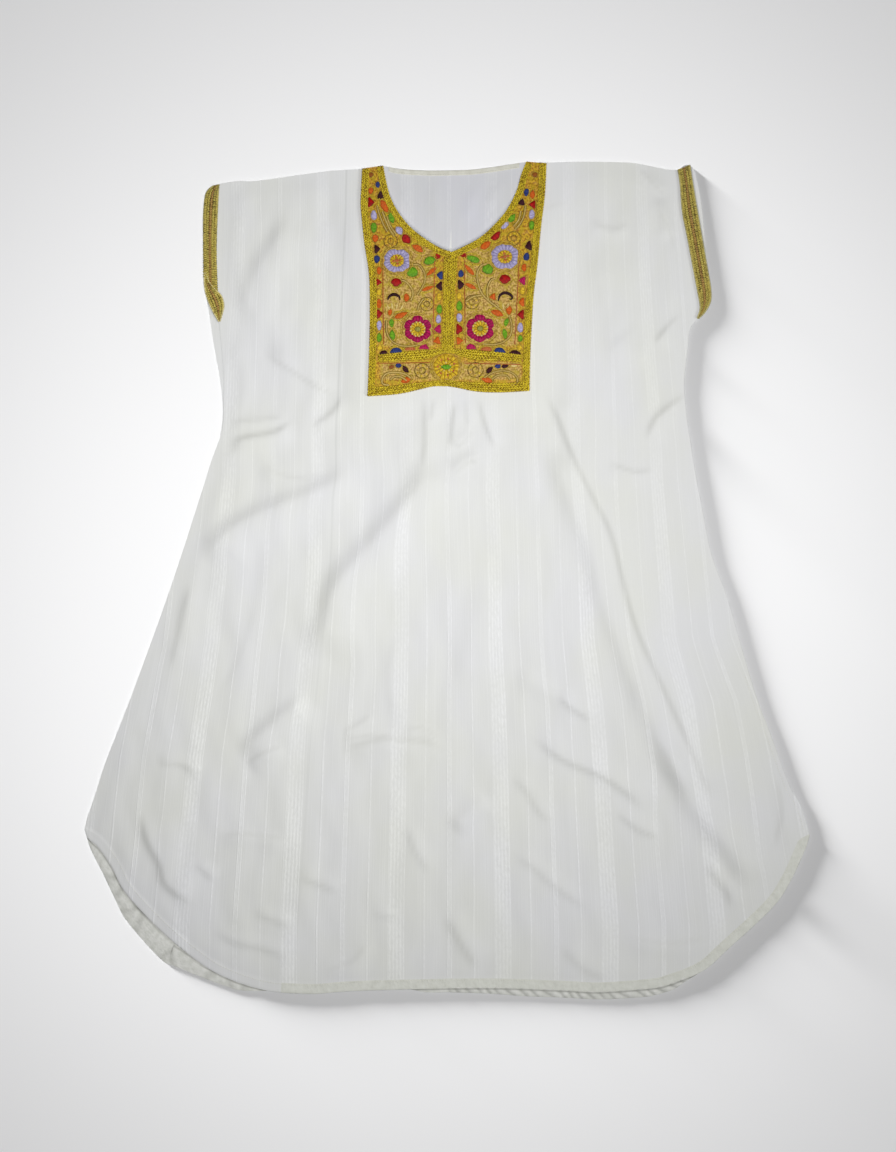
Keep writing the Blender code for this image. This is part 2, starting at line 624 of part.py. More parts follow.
def yoke_braids():
    """The gold borders of the yoke: round its edge, round the neck, the placket and the bar."""
    left = Outline.yoke_edge["left"][::-1]
    right = Outline.yoke_edge["right"]
    foot = chain(Outline.yoke_foot["left"], Outline.yoke_foot["right"][::-1])
    inner_foot = smooth_line(BORDER_FOOT_INNER, len(foot))
    outer = chain(left, foot, right)
    inner = chain(np.vstack([left[:-1] + (BORDER_WIDTH, 0), inner_foot[:1]]), inner_foot,
                  np.vstack([inner_foot[-1:], right[1:] - (BORDER_WIDTH, 0)]))
    strip("yoke_border", (outer, inner), on_yoke, rounded(BRAID_HEIGHT), "gold_couching")

    neck = chain(smooth_line(LEFT_NECKLINE, NECK_BORDER_COUNT)[::-1],
                 smooth_line(RIGHT_NECKLINE, NECK_BORDER_COUNT))
    edges = (neck, move_aside(neck, -NECK_BORDER_WIDTH))
    strip("neck_border", edges, on_yoke, rounded(BRAID_HEIGHT), "gold_couching")

    edges = (smooth_line(PLACKET_LEFT, PLACKET_COUNT), smooth_line(PLACKET_RIGHT, PLACKET_COUNT))
    profile = ribbed(PLACKET_WALL, PLACKET_RIB, PLACKET_RIBS)
    strip("placket", edges, on_yoke, profile, "gold_couching")

    edges = (smooth_line(CROSS_BAR_TOP, CROSS_BAR_COUNT),
             smooth_line(CROSS_BAR_FOOT, CROSS_BAR_COUNT))
    strip("cross_bar", edges, on_yoke, rounded(BRAID_HEIGHT), "gold_couching")


def flowers():
    """The raised flowers and the rosette of the yoke: petals round a higher middle."""
    for flower in FLOWERS:
        turn = np.linspace(0, 2 * np.pi, PETAL_POINTS, endpoint=False)
        petal = 1 + PETAL_SWELL * np.cos(flower.petals * turn)
        circle = np.column_stack([np.cos(turn), np.sin(turn)]) * petal[:, None]
        base = on_yoke(np.array(flower.centre))[0, 2]
        rings = []
        for share, height in PETAL_RINGS:
            flat = np.array(flower.centre) + flower.radius * share * circle
            rings.append(np.column_stack([flat, np.full(len(flat), base + height)]))
        colour = "gold_couching"
        if "lilac" in flower.name:
            colour = "lilac_thread"
        if "magenta" in flower.name:
            colour = "magenta_thread"
        loft(flower.name, rings, colour)


def sleeve_trims():
    """The braid along each sleeve edge, and its turned underarm end on the left."""
    profile = ribbed(TRIM_WALL, TRIM_RIB, TRIM_RIBS)

    def on_sleeve(points):
        return on_front(points, YOKE_BASE)

    trims = (
        ("sleeve_trim_left", LEFT_TRIM_OUTER, LEFT_TRIM_INNER, TRIM_COUNT),
        ("sleeve_trim_left_turn", LEFT_TURN_LOWER, LEFT_TURN_UPPER, TRIM_TURN_COUNT),
        ("sleeve_trim_right", RIGHT_TRIM_OUTER, RIGHT_TRIM_INNER, LONG_TRIM_COUNT),
    )
    for name, outer, inner, count in trims:
        edges = (smooth_line(outer, count), smooth_line(inner, count))
        strip(name, edges, on_sleeve, profile, "gold_braid")


def build():
    for old in list(bpy.data.objects):
        bpy.data.objects.remove(old, do_unlink=True)
    collection = bpy.data.collections.new("kaftan")
    bpy.context.scene.collection.children.link(collection)
    back()
    neck_band()
    front()
    yoke()
    yoke_braids()
    flowers()
    sleeve_trims()


build()
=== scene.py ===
# %% [markdown]
# # A short kaftan laid flat
# The garment is two layers of thin white cotton, one on the other, with a heavy embroidered
# yoke sewn round the neck and gold braid along the two short sleeves. This lesson dresses the
# plain solids of the kaftan: each solid is replaced by a finer piece that lies where it lies.
# It starts with the imported solids.

# %% Load the frame
from collections import namedtuple

import bpy
import numpy as np
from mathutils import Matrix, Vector


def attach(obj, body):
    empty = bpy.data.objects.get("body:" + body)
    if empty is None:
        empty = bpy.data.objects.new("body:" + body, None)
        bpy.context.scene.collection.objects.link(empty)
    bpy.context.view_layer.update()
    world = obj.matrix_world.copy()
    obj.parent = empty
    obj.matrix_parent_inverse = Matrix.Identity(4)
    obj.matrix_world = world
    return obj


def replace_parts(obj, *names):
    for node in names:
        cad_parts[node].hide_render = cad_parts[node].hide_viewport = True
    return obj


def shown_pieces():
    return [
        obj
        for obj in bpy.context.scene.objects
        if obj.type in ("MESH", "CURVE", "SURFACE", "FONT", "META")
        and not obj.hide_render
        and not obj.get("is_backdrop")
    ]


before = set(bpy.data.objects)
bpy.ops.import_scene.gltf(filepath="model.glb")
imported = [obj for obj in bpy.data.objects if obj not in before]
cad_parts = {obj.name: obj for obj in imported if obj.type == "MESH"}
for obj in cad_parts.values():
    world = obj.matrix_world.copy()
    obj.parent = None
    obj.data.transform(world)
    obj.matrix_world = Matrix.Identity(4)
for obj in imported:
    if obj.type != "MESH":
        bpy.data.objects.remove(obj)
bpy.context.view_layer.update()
MM = 0.001

# %% [markdown]
# ## Lines
# A cut edge is a smooth curve, and a maker marks it with a few points and a curved ruler. Here
# a Catmull-Rom curve runs through the marks, and it is then read at even lengths, so that the
# rows of the cloth are spaced evenly. All lengths are in millimetres until a mesh is made.

# %% Smooth lines
CURVE_STEPS = 16
# Points that are compared with a line at one time
BATCH = 8000


def run_of(line):
    """Length along a line at each of its points."""
    return np.concatenate([[0.0], np.cumsum(np.linalg.norm(np.diff(line, axis=0), axis=1))])


def at_lengths(line, places):
    """Points of a line of straight pieces at the given lengths along it."""
    run = run_of(line)
    return np.column_stack([np.interp(places, run, column) for column in line.T])


def resample(line, count):
    """The same line read at count points an equal length apart."""
    return at_lengths(line, np.linspace(0, run_of(line)[-1], count))


def smooth_line(knots, count):
    """A Catmull-Rom curve through the knots, read at count points an equal length apart.

    Between knots b and c the point is half of 2b + (c - a)u + (2a - 5b + 4c - d)u^2
    + (3b - a - 3c + d)u^3, where a and d are the knots before and after.
    """
    knots = np.array(knots, float)
    padded = np.vstack([2 * knots[0] - knots[1], knots, 2 * knots[-1] - knots[-2]])
    u = np.linspace(0, 1, CURVE_STEPS, endpoint=False)[:, None]
    spans = []
    for a, b, c, d in zip(padded, padded[1:], padded[2:], padded[3:]):
        bend = (2 * a - 5 * b + 4 * c - d) * u ** 2 + (3 * b - a - 3 * c + d) * u ** 3
        spans.append(0.5 * (2 * b + (c - a) * u + bend))
    return resample(np.vstack(spans + [knots[-1:]]), count)


def chain(*lines):
    """One line from several that follow each other and share their end points."""
    return np.vstack([lines[0]] + [line[1:] for line in lines[1:]])


def left_hand(line):
    """Unit vectors that point to the left of a line's way, averaged at its corners."""
    step = np.gradient(line, axis=-2)
    step = step / np.maximum(np.linalg.norm(step, axis=-1, keepdims=True), 1e-9)
    return np.stack([-step[..., 1], step[..., 0]], -1)


def nearest(points, line):
    """Distance to a line, the side (+1 on its left hand) and the share of its length."""
    step = np.diff(line, axis=0)
    length = np.linalg.norm(step, axis=1)
    begun = np.cumsum(length) - length
    found = []
    for part in np.array_split(points, len(points) // BATCH + 1):
        away = part[:, None] - line[None, :-1]
        share = np.clip((away * step).sum(2) / length ** 2, 0, 1)
        gap = np.linalg.norm(away - share[..., None] * step, axis=2)
        best = gap.argmin(1)
        rows = np.arange(len(part))
        offset = away[rows, best]
        side = np.sign(step[best, 0] * offset[:, 1] - step[best, 1] * offset[:, 0])
        along = (begun[best] + share[rows, best] * length[best]) / length.sum()
        found.append((gap[rows, best], side, along))
    return tuple(np.concatenate(column) for column in zip(*found))


def inside(points, ring):
    """True where a line to the right of a point crosses a closed ring an odd number of times."""
    ahead = np.roll(ring, -1, axis=0)
    rise = np.where(ahead[:, 1] == ring[:, 1], 1.0, ahead[:, 1] - ring[:, 1])
    found = []
    for part in np.array_split(points, len(points) // BATCH + 1):
        x, y = part[:, :1], part[:, 1:]
        passed = (ring[:, 1] > y) != (ahead[:, 1] > y)
        crossing = ring[:, 0] + (ahead[:, 0] - ring[:, 0]) * (y - ring[:, 1]) / rise
        found.append((passed & (x < crossing)).sum(1) % 2 == 1)
    return np.concatenate(found)


def ease(low, high, value):
    """A smooth step 3t^2 - 2t^3 from 0 at low to 1 at high."""
    share = np.clip((value - low) / (high - low), 0, 1)
    return share * share * (3 - 2 * share)


# %% [markdown]
# ## The cut
# These are the cut edges as they lie, marked on the garment from its middle: +X is to the
# viewer's right and +Y runs towards the neck. Each half of the front has a side, an underarm,
# a sleeve, a shoulder, a neckline and a rounded hem. The back is cut a little longer. An edge
# is a small table, with the left half's marks in one row and the right half's in the next.

# %% Rows of points
HALVES = ("left", "right")


def rows_in(table):
    """The rows of a text table. A line that starts with a space goes on with the row above."""
    lines = table.replace("\n ", " ").splitlines()
    return [row for row in lines if row and not row.startswith("#")]


def points_in(row):
    """Points with spaces between them, each two numbers with a comma between."""
    return tuple(tuple(map(float, pair.split(","))) for pair in row.split())


def lines_in(table):
    """One line of points from each row of a table."""
    return [points_in(row) for row in rows_in(table)]


def marks(table):
    """The marks of one edge, a row for the left half and a row for the right."""
    return dict(zip(HALVES, lines_in(table)))


# %% Cut edges
HEM_CENTRE = (3, -530)
NECK_V = (6, 426)
SIDE = marks("""
-471,-323 -467,-307 -458,-281 -445,-240 -422,-181 -400,-123 -358,-6 -320,111 -308,150 -295,185
471,-332 467,-314 458,-289 445,-266 421,-201 399,-142 365,-25 344,33 332,92 321,150 312,209
""")
UNDERARM = marks("""
-295,185 -291,202 -290,230 -290,261 -292,293 -296,335
312,209 308,250 310,278 313,306 316,327 325,339
""")
SLEEVE = marks("""
-296,335 -304,350 -312,369 -315,385 -315,420 -316,443 -316,475 -315,499 -311,508
325,339 335,349 342,363 342,380 338,404 328,461 322,496 318,521 315,540
""")
SHOULDER = marks("""
-311,508 -296,515 -270,519 -248,519 -191,527 -152,532 -110,535 -83,539
315,540 308,539 300,534 285,534 251,541 231,543 181,544 129,543 103,544
""")
NECKLINE = marks("""
6,426 -10,432 -31,445 -49,460 -64,479 -74,499 -79,518 -83,539
6,426 17,431 40,443 60,460 77,480 90,505 96,526 103,544
""")
HEM = marks("""
-471,-323 -467,-335 -454,-346 -436,-372 -419,-404 -382,-445 -339,-483 -296,-512 -238,-532
 -178,-537 -135,-534 -84,-532 3,-530
471,-332 465,-350 445,-393 422,-426 364,-480 333,-507 289,-525 266,-530 199,-535 153,-533 74,-530
 3,-530
""")
BACK_SLEEVE = marks("""
-295,185 -292,209 -292,232 -296,267 -303,306 -308,339 -313,369 -315,385 -315,420 -316,443 -316,475
 -315,499 -311,508
325,339 335,349 342,362 342,376 337,419 335,443 333,466 330,493 325,519 321,534 315,540
""")
BACK_NECK = marks("""
-83,539 -61,535 -29,533 0,533
103,544 82,541 56,537 30,534 0,533
""")
BACK_HEM = marks("""
-471,-323 -463,-349 -446,-383 -429,-419 -415,-444 -373,-491 -352,-502 -291,-526 -261,-533
 -191,-532 -135,-530 -61,-530 -27,-535 3,-535
471,-332 458,-367 445,-391 422,-423 364,-479 345,-497 326,-511 313,-519 304,-525 295,-531 280,-536
 264,-540 243,-542 199,-544 153,-542 100,-540 61,-537 3,-535
""")
YOKE_SIDE = marks("""
-103,239 -101,294 -100,346 -101,396 -107,437 -111,475 -112,491 -110,535
107,246 108,294 112,367 117,408 122,460 127,501 129,542
""")
YOKE_FOOT = marks("""
-103,239 -64,242 -32,249 -17,252 1,252
107,246 70,244 40,245 14,250 1,252
""")
print("hem length: %.0f mm" % sum(run_of(np.array(HEM[half], float))[-1] for half in HALVES))

# %% [markdown]
# ## Folds
# Thin cotton that is laid down by hand keeps soft drags and creases. Each one is a low ridge
# along a route, steep on its right hand and gentle on its left, and it dies away at both ends.
# The large ones are in the solids too. The fine ones, of a millimetre or so, are added here.
# Cloth simulation would lay folds in other places than the real ones, so they are placed one by
# one.

# %% Table of folds
Fold = namedtuple("Fold", "name height steep gentle route")


def read_fold(row):
    """One fold from its row."""
    facts, route = row.split(":")
    name, *sizes = facts.split()
    return Fold(name, *map(float, sizes), points_in(route))


FOLDS = [read_fold(row) for row in rows_in("""
# Name, height of the crest, reach of the steep and of the gentle side: route of the crest
long_left 8.5 18 42: -22,168 -28,128 -42,106 -85,56 -140,-8 -152,-50 -168,-104
long_left_top 2.4 6 18: -30,246 -26,222 -25,180 -29,140
long_left_tail 5.6 12 30: -180,-148 -199,-167 -222,-186 -252,-212 -272,-226
left_waist 6.4 14 30: -118,142 -150,122 -200,101 -252,80 -289,55 -316,22
left_notch 3.4 6 16: -196,205 -222,190 -256,183 -284,178
left_flank 2 7 24: -330,0 -338,-40 -350,-95 -356,-120
right_thin 4.4 7 24: 126,252 147,216 163,174 189,119 217,64 229,18 250,-60 291,-151 320,-216
 350,-289
right_wide 6.8 16 28: 140,178 158,120 186,47 214,-48 252,-143 290,-224 328,-290
right_low_steep 7 15 22: 278,-204 285,-218 297,-244 314,-276 336,-308 366,-343 384,-370 404,-400
centre 2.6 18 32: 63,8 41,-64 23,-146
low_arch 2.8 9 24: -3,-234 -24,-217 -83,-213 -141,-227
low_ridge 4 13 13: 57,-282 6,-325
low_right 2.8 7 16: 108,-196 152,-229 201,-250 234,-272 266,-298
low_right_second 2.2 6 12: 220,-296 249,-320 280,-331
middle_drag 2.5 10 16: 180,-172 85,-114
left_corner 3 8 28: -392,-296 -386,-335 -370,-366 -362,-392 -342,-408 -322,-418
middle_hem 2.2 8 20: 0,-430 23,-470 45,-505
right_waist 3.2 7 16: 318,242 290,222 272,205 262,178
left_sleeve 3.6 15 34: -196,476 -218,440 -243,402 -258,362 -268,318
right_sleeve 3 10 18: 276,500 290,441
gather_left 2.6 5 14: 14,234 6,168
gather_right 2.8 5 14: 43,240 52,206 66,170
gather_short 1.8 5 9: -14,236 -18,205
gather_middle 1.6 5 8: 27,238 30,196
gather_curl 2.2 5 9: 8,176 20,182 32,196
gather_curl_low 2.4 5 9: 6,138 26,156 46,160
right_dip 2 5 12: 272,142 242,138 208,150
left_chest 2.4 6 22: -238,300 -200,276 -168,256 -136,244
left_notch_tail 2.2 5 12: -134,240 -142,222 -158,208 -176,198
right_low_flat 1.5 8 14: 352,-468 288,-476 226,-466
right_underarm 2.4 6 12: 306,344 290,328 270,304
right_corner 2.8 8 5: 337,-361 347,-374 360,-392 370,-406 374,-426
right_low_top 0.6 6 10: 268,-192 277,-211 286,-226 296,-241 302,-268
left_notch_line 1.6 5 9: -204,211 -240,206 -288,203
right_shoulder 2 5 12: 250,541 276,512 290,500
right_collar 1.3 6 12: 122,486 156,496
right_bust 2.4 14 26: 180,428 202,394 214,352 220,300 228,258
right_bust_low 1.8 12 22: 218,318 238,298 264,290
right_smile 1.3 5 10: 240,461 214,453 184,464
right_arm_line 1.6 5 10: 276,488 292,456 300,424
left_waist_short 1.3 6 10: -170,128 -212,132 -244,148
left_skirt 0.7 9 24: -240,-20 -262,-96 -300,-168
centre_skirt 0.8 8 20: -60,-60 -72,-128 -64,-190
right_low_first 2.4 6 12: 144,-146 168,-166 192,-180
right_low_third 1.6 6 12: 84,-250 106,-272 122,-298 142,-314
right_low_curl 1.5 6 12: 84,-350 116,-372 138,-392 186,-426
left_tail_second 2 6 14: -208,-218 -238,-228 -260,-244
left_edge_drag 1.6 6 12: -378,-236 -344,-236 -320,-254
left_arch_first 1.8 6 14: -64,-208 -110,-206 -140,-212
left_arch_branch 1.8 6 10: -94,-176 -118,-192 -136,-202
left_arch_last 1.6 6 10: -6,-212 -32,-196 -58,-196
left_corner_second 1.5 6 10: -324,-366 -300,-388
left_low_first 2 7 16: -204,-342 -262,-334 -298,-336
left_low_second 1.6 6 12: -192,-382 -158,-394 -136,-404
left_low_third 1.5 6 10: -250,-428 -200,-448
left_low_fourth 1.5 6 10: -304,-452 -272,-468 -242,-474 -202,-488
centre_low 1.6 6 12: -50,-316 -40,-346 -20,-380
centre_low_short 1.2 6 10: -96,-430 -62,-436
hem_left_short 1.4 7 14: -96,-468 -120,-498 -160,-512
hem_right_short 1.4 7 14: 150,-470 178,-500 214,-516
right_flank 2.2 10 20: 384,-60 392,-130 420,-230
right_flank_low 1.8 8 16: 432,-250 440,-300 430,-352
""")]
FOLD_END, FOLD_FADE = 0.25, 45.0
print("folds:", len(FOLDS), "highest", max(fold.height for fold in FOLDS), "mm")

# %% [markdown]
# ## How the front lies
# The front rests on the back at its seams and lifts off it by a few millimetres between them.
# The yoke is stiff with thread, so it lies in one smooth plane, and the loose cloth blends
# into it round its rim. A slow ripple keeps the open cloth from being quite flat.

# %% Lift of the cloth
BACK_WALL, FRONT_WALL, YOKE_WALL, SEAM_GAP = 1.2, 1.2, 1.4, 0.3
PUFF, YOKE_LIFT, EDGE_FADE, SLEEVE_FLAT, SHOULDER_RAMP = 1.0, 4.5, 28.0, 22.0, 100.0
YOKE_RIM, YOKE_FADE = 6.0, 45.0
FRONT_BASE = BACK_WALL + SEAM_GAP
YOKE_BASE = FRONT_BASE + FRONT_WALL + SEAM_GAP
YOKE_TOP = YOKE_BASE + YOKE_WALL
EDGE_POINTS, FINE_POINTS = 60, 400
# Only creases with a reach as short as this get painted shade, fully from this height
SHADED_REACH, SHADED_HEIGHT = 9.0, 3.0
# Where a crease's painted shade is darkest and how wide it is, as shares of the steep reach
SHADE_PLACE, SHADE_WIDTH = 0.7, 0.5
# Ripples: height, length across and along the cloth, and where each starts
RIPPLES = ((0.30, 74, 310, 0.4), (0.22, 47, 190, 2.1), (0.16, 31, 120, 4.0), (0.12, 118, 66, 1.2))


def edge(table, half, count=EDGE_POINTS):
    """One marked edge as a smooth line."""
    return smooth_line(table[half], count)


def ripple(points):
    """Sum of slow waves, each a sine across the cloth that drifts with a sine along it."""
    x, y = points.T
    total = np.zeros(len(points))
    for height, across, along, start in RIPPLES:
        drift = 1.5 * np.sin(2 * np.pi * y / along + start)
        total += height * np.sin(2 * np.pi * x / across + drift)
    return total


def fold_ends(route, along):
    """Fade at both ends of a fold, over a quarter of its length but never over 45 mm."""
    fade = min(FOLD_END, FOLD_FADE / run_of(route)[-1])
    return ease(0, fade, along) * ease(0, fade, 1 - along)


def fold_heights(points):
    """Sum of the folds: height times exp(-(distance / reach)^2), faded at both ends."""
    total = np.zeros(len(points))
    for fold in FOLDS:
        route = smooth_line(fold.route, CURVE_STEPS)
        reach = 3 * max(fold.steep, fold.gentle)
        in_box = (points > route.min(0) - reach) & (points < route.max(0) + reach)
        near = np.flatnonzero(in_box.all(1))
        if not len(near):
            continue
        gap, side, along = nearest(points[near], route)
        width = np.where(side > 0, fold.gentle, fold.steep)
        ends = fold_ends(route, along)
        total[near] += fold.height * np.exp(-(gap / width) ** 2) * ends
    return total


def crease_painted_shade(points):
    """Painted shade of the sharp creases: exp(-((distance - place) / width)^2) beside the crest.

    It lies on the steep side alone, and it is stronger in the higher creases.
    """
    total = np.zeros(len(points))
    for fold in FOLDS:
        if fold.steep > SHADED_REACH:
            continue
        route = smooth_line(fold.route, 3 * CURVE_STEPS)
        gap, side, along = nearest(points, route)
        off_shade = (gap - SHADE_PLACE * fold.steep) / (SHADE_WIDTH * fold.steep)
        crease_shade = np.exp(-off_shade ** 2) * (side < 0)
        total += crease_shade * fold_ends(route, along) * min(fold.height / SHADED_HEIGHT, 1.0)
    return np.clip(total, 0, 1)


def shoulder_gap(points):
    """Distance to the nearer shoulder seam."""
    gaps = [nearest(points, edge(SHOULDER, half))[0] for half in HALVES]
    return np.minimum(*gaps)


def yoke_lift(points):
    """Lift of the stiff yoke, which rises smoothly away from the shoulder seams."""
    return YOKE_LIFT * ease(0, SHOULDER_RAMP, shoulder_gap(points))


def lift(points):
    """Height of the front's inner side above its lowest place.

    The loose cloth's puff, folds and ripple are faded out along every seam, and then mixed
    with the yoke's lift by the share of the yoke at that place.
    """
    rise = PUFF + fold_heights(points) + ripple(points)
    for half in HALVES:
        for table in (HEM, SIDE, UNDERARM, SHOULDER):
            rise *= ease(0, EDGE_FADE, nearest(points, edge(table, half))[0])
        sleeve_gap = nearest(points, edge(SLEEVE, half))[0]
        rise *= ease(SLEEVE_FLAT, SLEEVE_FLAT + EDGE_FADE, sleeve_gap)
    around = chain(edge(YOKE_SIDE, "left")[::-1], edge(YOKE_FOOT, "left"),
                   edge(YOKE_FOOT, "right")[::-1], edge(YOKE_SIDE, "right"))
    ring = np.vstack([around, around[-1:] + (0, YOKE_FADE), around[:1] + (0, YOKE_FADE)])
    outside = np.where(inside(points, ring), 0.0, nearest(points, around)[0])
    share = 1 - ease(YOKE_RIM, YOKE_FADE, outside)
    return share * yoke_lift(points) + (1 - share) * np.maximum(rise, 0.0)


# %% [markdown]
# ## Meshes from grids
# Every piece here is a grid of points, worked out as whole arrays. A grid's faces join
# neighbouring points. A cloth is a grid, the same grid underneath and a rim round the open
# edges, which makes one closed shell. A cord is a ring of points carried along a path.

# %% Grids and shells
SHARP_ANGLE = np.radians(50)


def grid_faces(copies, rows, columns, wrap=False):
    """Quads between neighbouring points of equal grids that follow each other."""
    index = np.arange(copies * rows * columns).reshape(copies, rows, columns)
    if wrap:
        index = np.concatenate([index, index[..., :1]], axis=2)
    corners = (index[:, :-1, :-1], index[:, :-1, 1:], index[:, 1:, 1:], index[:, 1:, :-1])
    return np.stack(corners, -1).reshape(-1, 4)


def shell_faces(faces, count):
    """Upper faces, the same faces turned over count points on, and a rim at each open edge."""
    start, end = faces.ravel(), np.roll(faces, -1, axis=1).ravel()
    is_open = ~np.isin(start * count + end, end * count + start)
    start, end = start[is_open], end[is_open]
    rim = np.column_stack([end, start, start + count, end + count])
    return np.vstack([faces, faces[:, ::-1] + count, rim])


def tube_faces(copies, rows, ring, top=True):
    """Faces of equal rings carried along, with a cap at the foot and perhaps at the top."""
    faces = grid_faces(copies, rows, ring, wrap=True).tolist()
    first = np.arange(copies)[:, None] * rows * ring + np.arange(ring)
    faces += first[:, ::-1].tolist()
    return faces + (first + (rows - 1) * ring).tolist() if top else faces


def carry(mesh, name, values):
    """Give each point of a mesh a value from 0 to 1, which its finish reads."""
    layer = mesh.attributes.new(name, "FLOAT", "POINT")
    layer.data.foreach_set("value", np.ravel(values).astype(np.float32))


def add_piece(name, points, faces, finish, weave, painted_light=None):
    """Make a mesh object from points in millimetres, with smooth faces and a weave map.

    The painted light is a value for each point: 1 where it is painted lit, on the crowns of the
    threads, and 0 where it is painted shade, between them and in hollows.
    """
    mesh = bpy.data.meshes.new(name)
    mesh.from_pydata((points * MM).tolist(), [], [list(face) for face in faces])
    mesh.update()
    mesh.shade_smooth()
    mesh.set_sharp_from_angle(angle=SHARP_ANGLE)
    corners = np.empty(len(mesh.loops), np.int32)
    mesh.loops.foreach_get("vertex_index", corners)
    layer = mesh.uv_layers.new(name="weave")
    layer.data.foreach_set("uv", (weave[corners] * MM).astype(np.float32).ravel())
    if painted_light is not None:
        carry(mesh, "painted_light", painted_light)
    mesh.materials.append(finish)
    piece = bpy.data.objects.new(name, mesh)
    bpy.context.scene.collection.objects.link(piece)
    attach(piece, "root")
    print("%s: %d faces" % (name, len(mesh.polygons)))
    return piece


def second_finish(piece, finish, chosen):
    """Give the chosen faces of a shell, above and below, a second finish."""
    piece.data.materials.append(finish)
    slots = np.zeros(len(piece.data.polygons), np.int32)
    slots[:2 * len(chosen)] = np.tile(chosen, 2)
    piece.data.polygons.foreach_set("material_index", slots)


# %% [markdown]
# ## Finishes
# A finish is a set of nodes that end in one shader. This small class adds a node, sets or
# joins its inputs and gives back its output, so that a finish reads as a short recipe.

# %% Recipe for a finish
def linear(shade):
    """A shade card value of 0 to 255 for each colour, as the light that it gives back."""
    value = np.array(shade) / 255
    light = np.where(value > 0.04045, ((value + 0.055) / 1.055) ** 2.4, value / 12.92)
    return (*light.tolist(), 1.0)


class Finish:
    """One material and its Principled shader."""

    def __init__(self, name, roughness, metallic=0.0, sheen=0.0, specular=0.5):
        self.material = bpy.data.materials.new(name)
        self.material.use_nodes = True
        self.tree = self.material.node_tree
        self.shader = self.tree.nodes["Principled BSDF"]
        self.shader.inputs["Roughness"].default_value = roughness
        self.shader.inputs["Metallic"].default_value = metallic
        self.shader.inputs["Sheen Weight"].default_value = sheen
        self.shader.inputs["Specular IOR Level"].default_value = specular

    def add(self, kind, values, output=0, **settings):
        """Add a node, join or set its inputs, and give back one of its outputs."""
        node = self.tree.nodes.new("ShaderNode" + kind)
        for key, value in settings.items():
            setattr(node, key, value)
        for key, value in values.items():
            self.join(node.inputs[key], value)
        return node.outputs[output]

    def join(self, socket, value):
        """Join an output to a socket, or set the socket's own value."""
        if isinstance(value, bpy.types.NodeSocket):
            self.tree.links.new(value, socket)
        else:
            socket.default_value = value

    def math(self, operation, *values):
        """One sum on numbers or outputs."""
        return self.add("Math", dict(enumerate(values)), operation=operation)

    def mix(self, share, first, second):
        """A colour between two others."""
        return self.add("Mix", {0: share, 6: first, 7: second}, 2, data_type="RGBA")

    def multiply(self, first, second):
        """One colour times another."""
        return self.add("Mix", {0: 1.0, 6: first, 7: second}, 2, data_type="RGBA",
                        blend_type="MULTIPLY")

    def ramp(self, value, low, high, first=0.0, last=1.0):
        """An even change from first to last while the value goes from low to high."""
        return self.add("MapRange", {0: value, 1: low, 2: high, 3: first, 4: last})

    def wave(self, value, length):
        """A sine of a woven length."""
        return self.math("SINE", self.math("MULTIPLY", value, 2 * np.pi / length))

    def carried(self, name):
        """A value that each point of the piece carries."""
        return self.add("Attribute", {}, 2, attribute_name=name)

    def paint(self, colour):
        """Make this the shader's colour."""
        self.join(self.shader.inputs["Base Color"], colour)

    def noise(self, scales, detail=2.0):
        """Cloudy values from 0 to 1 on the weave map, stretched by a scale each way."""
        spread = self.add("VectorMath", {0: self.weave, 1: (*scales, 1.0)}, operation="MULTIPLY")
        return self.add("TexNoise", {"Vector": spread, "Scale": 1.0, "Detail": detail})

    def read_weave(self):
        """The weave map's two lengths: across the threads, and along them."""
        self.weave = self.add("UVMap", {}, uv_map="weave")
        return (self.add("SeparateXYZ", {0: self.weave}, 0),
                self.add("SeparateXYZ", {0: self.weave}, 1))

    def bump(self, height, distance, strength=1.0):
        """Small relief: the height of 0 to 1 stands for this many metres."""
        normal = self.add("Bump", {"Height": height, "Distance": distance, "Strength": strength})
        self.join(self.shader.inputs["Normal"], normal)


# %% [markdown]
# ## White striped cotton
# The cloth is plain-woven cotton with satin stripes. In each repeat of 123 mm there is a broad
# satin stripe of 20 mm, a narrow one of 6 mm halfway, and a thin line on each side of it. The
# stripes are drawn on the cloth's own flat lengths, so that they follow the cloth where it
# spreads towards the hem. Satin threads are whiter and smoother than the plain weave, and
# faint single threads show all over. Towards the hem the satin is whiter still, as painted
# sheen. A pressed line runs down the left of the front, as a faint dent with painted shade
# along it, and the sharp creases get painted shade too: a faint grey that each point of the
# cloth carries.

# %% Striped cotton finish
REPEAT, SATIN_THREAD = 0.1234, 0.0041
# Where the pressed line crosses the middle, and its slope
PRESSED_LINE = (-0.1636, 0.0254)
# Share of the way from the narrow stripe's middle to the broad stripe's middle, strength
STRIPES = ((0.0, 0.5), (0.024, 0.5), (0.030, 1.0), (0.042, 1.0), (0.048, 0.0), (0.452, 0.0),
           (0.458, 0.8), (0.482, 0.8), (0.488, 0.0), (0.835, 0.0), (0.845, 1.0), (1.0, 1.0))


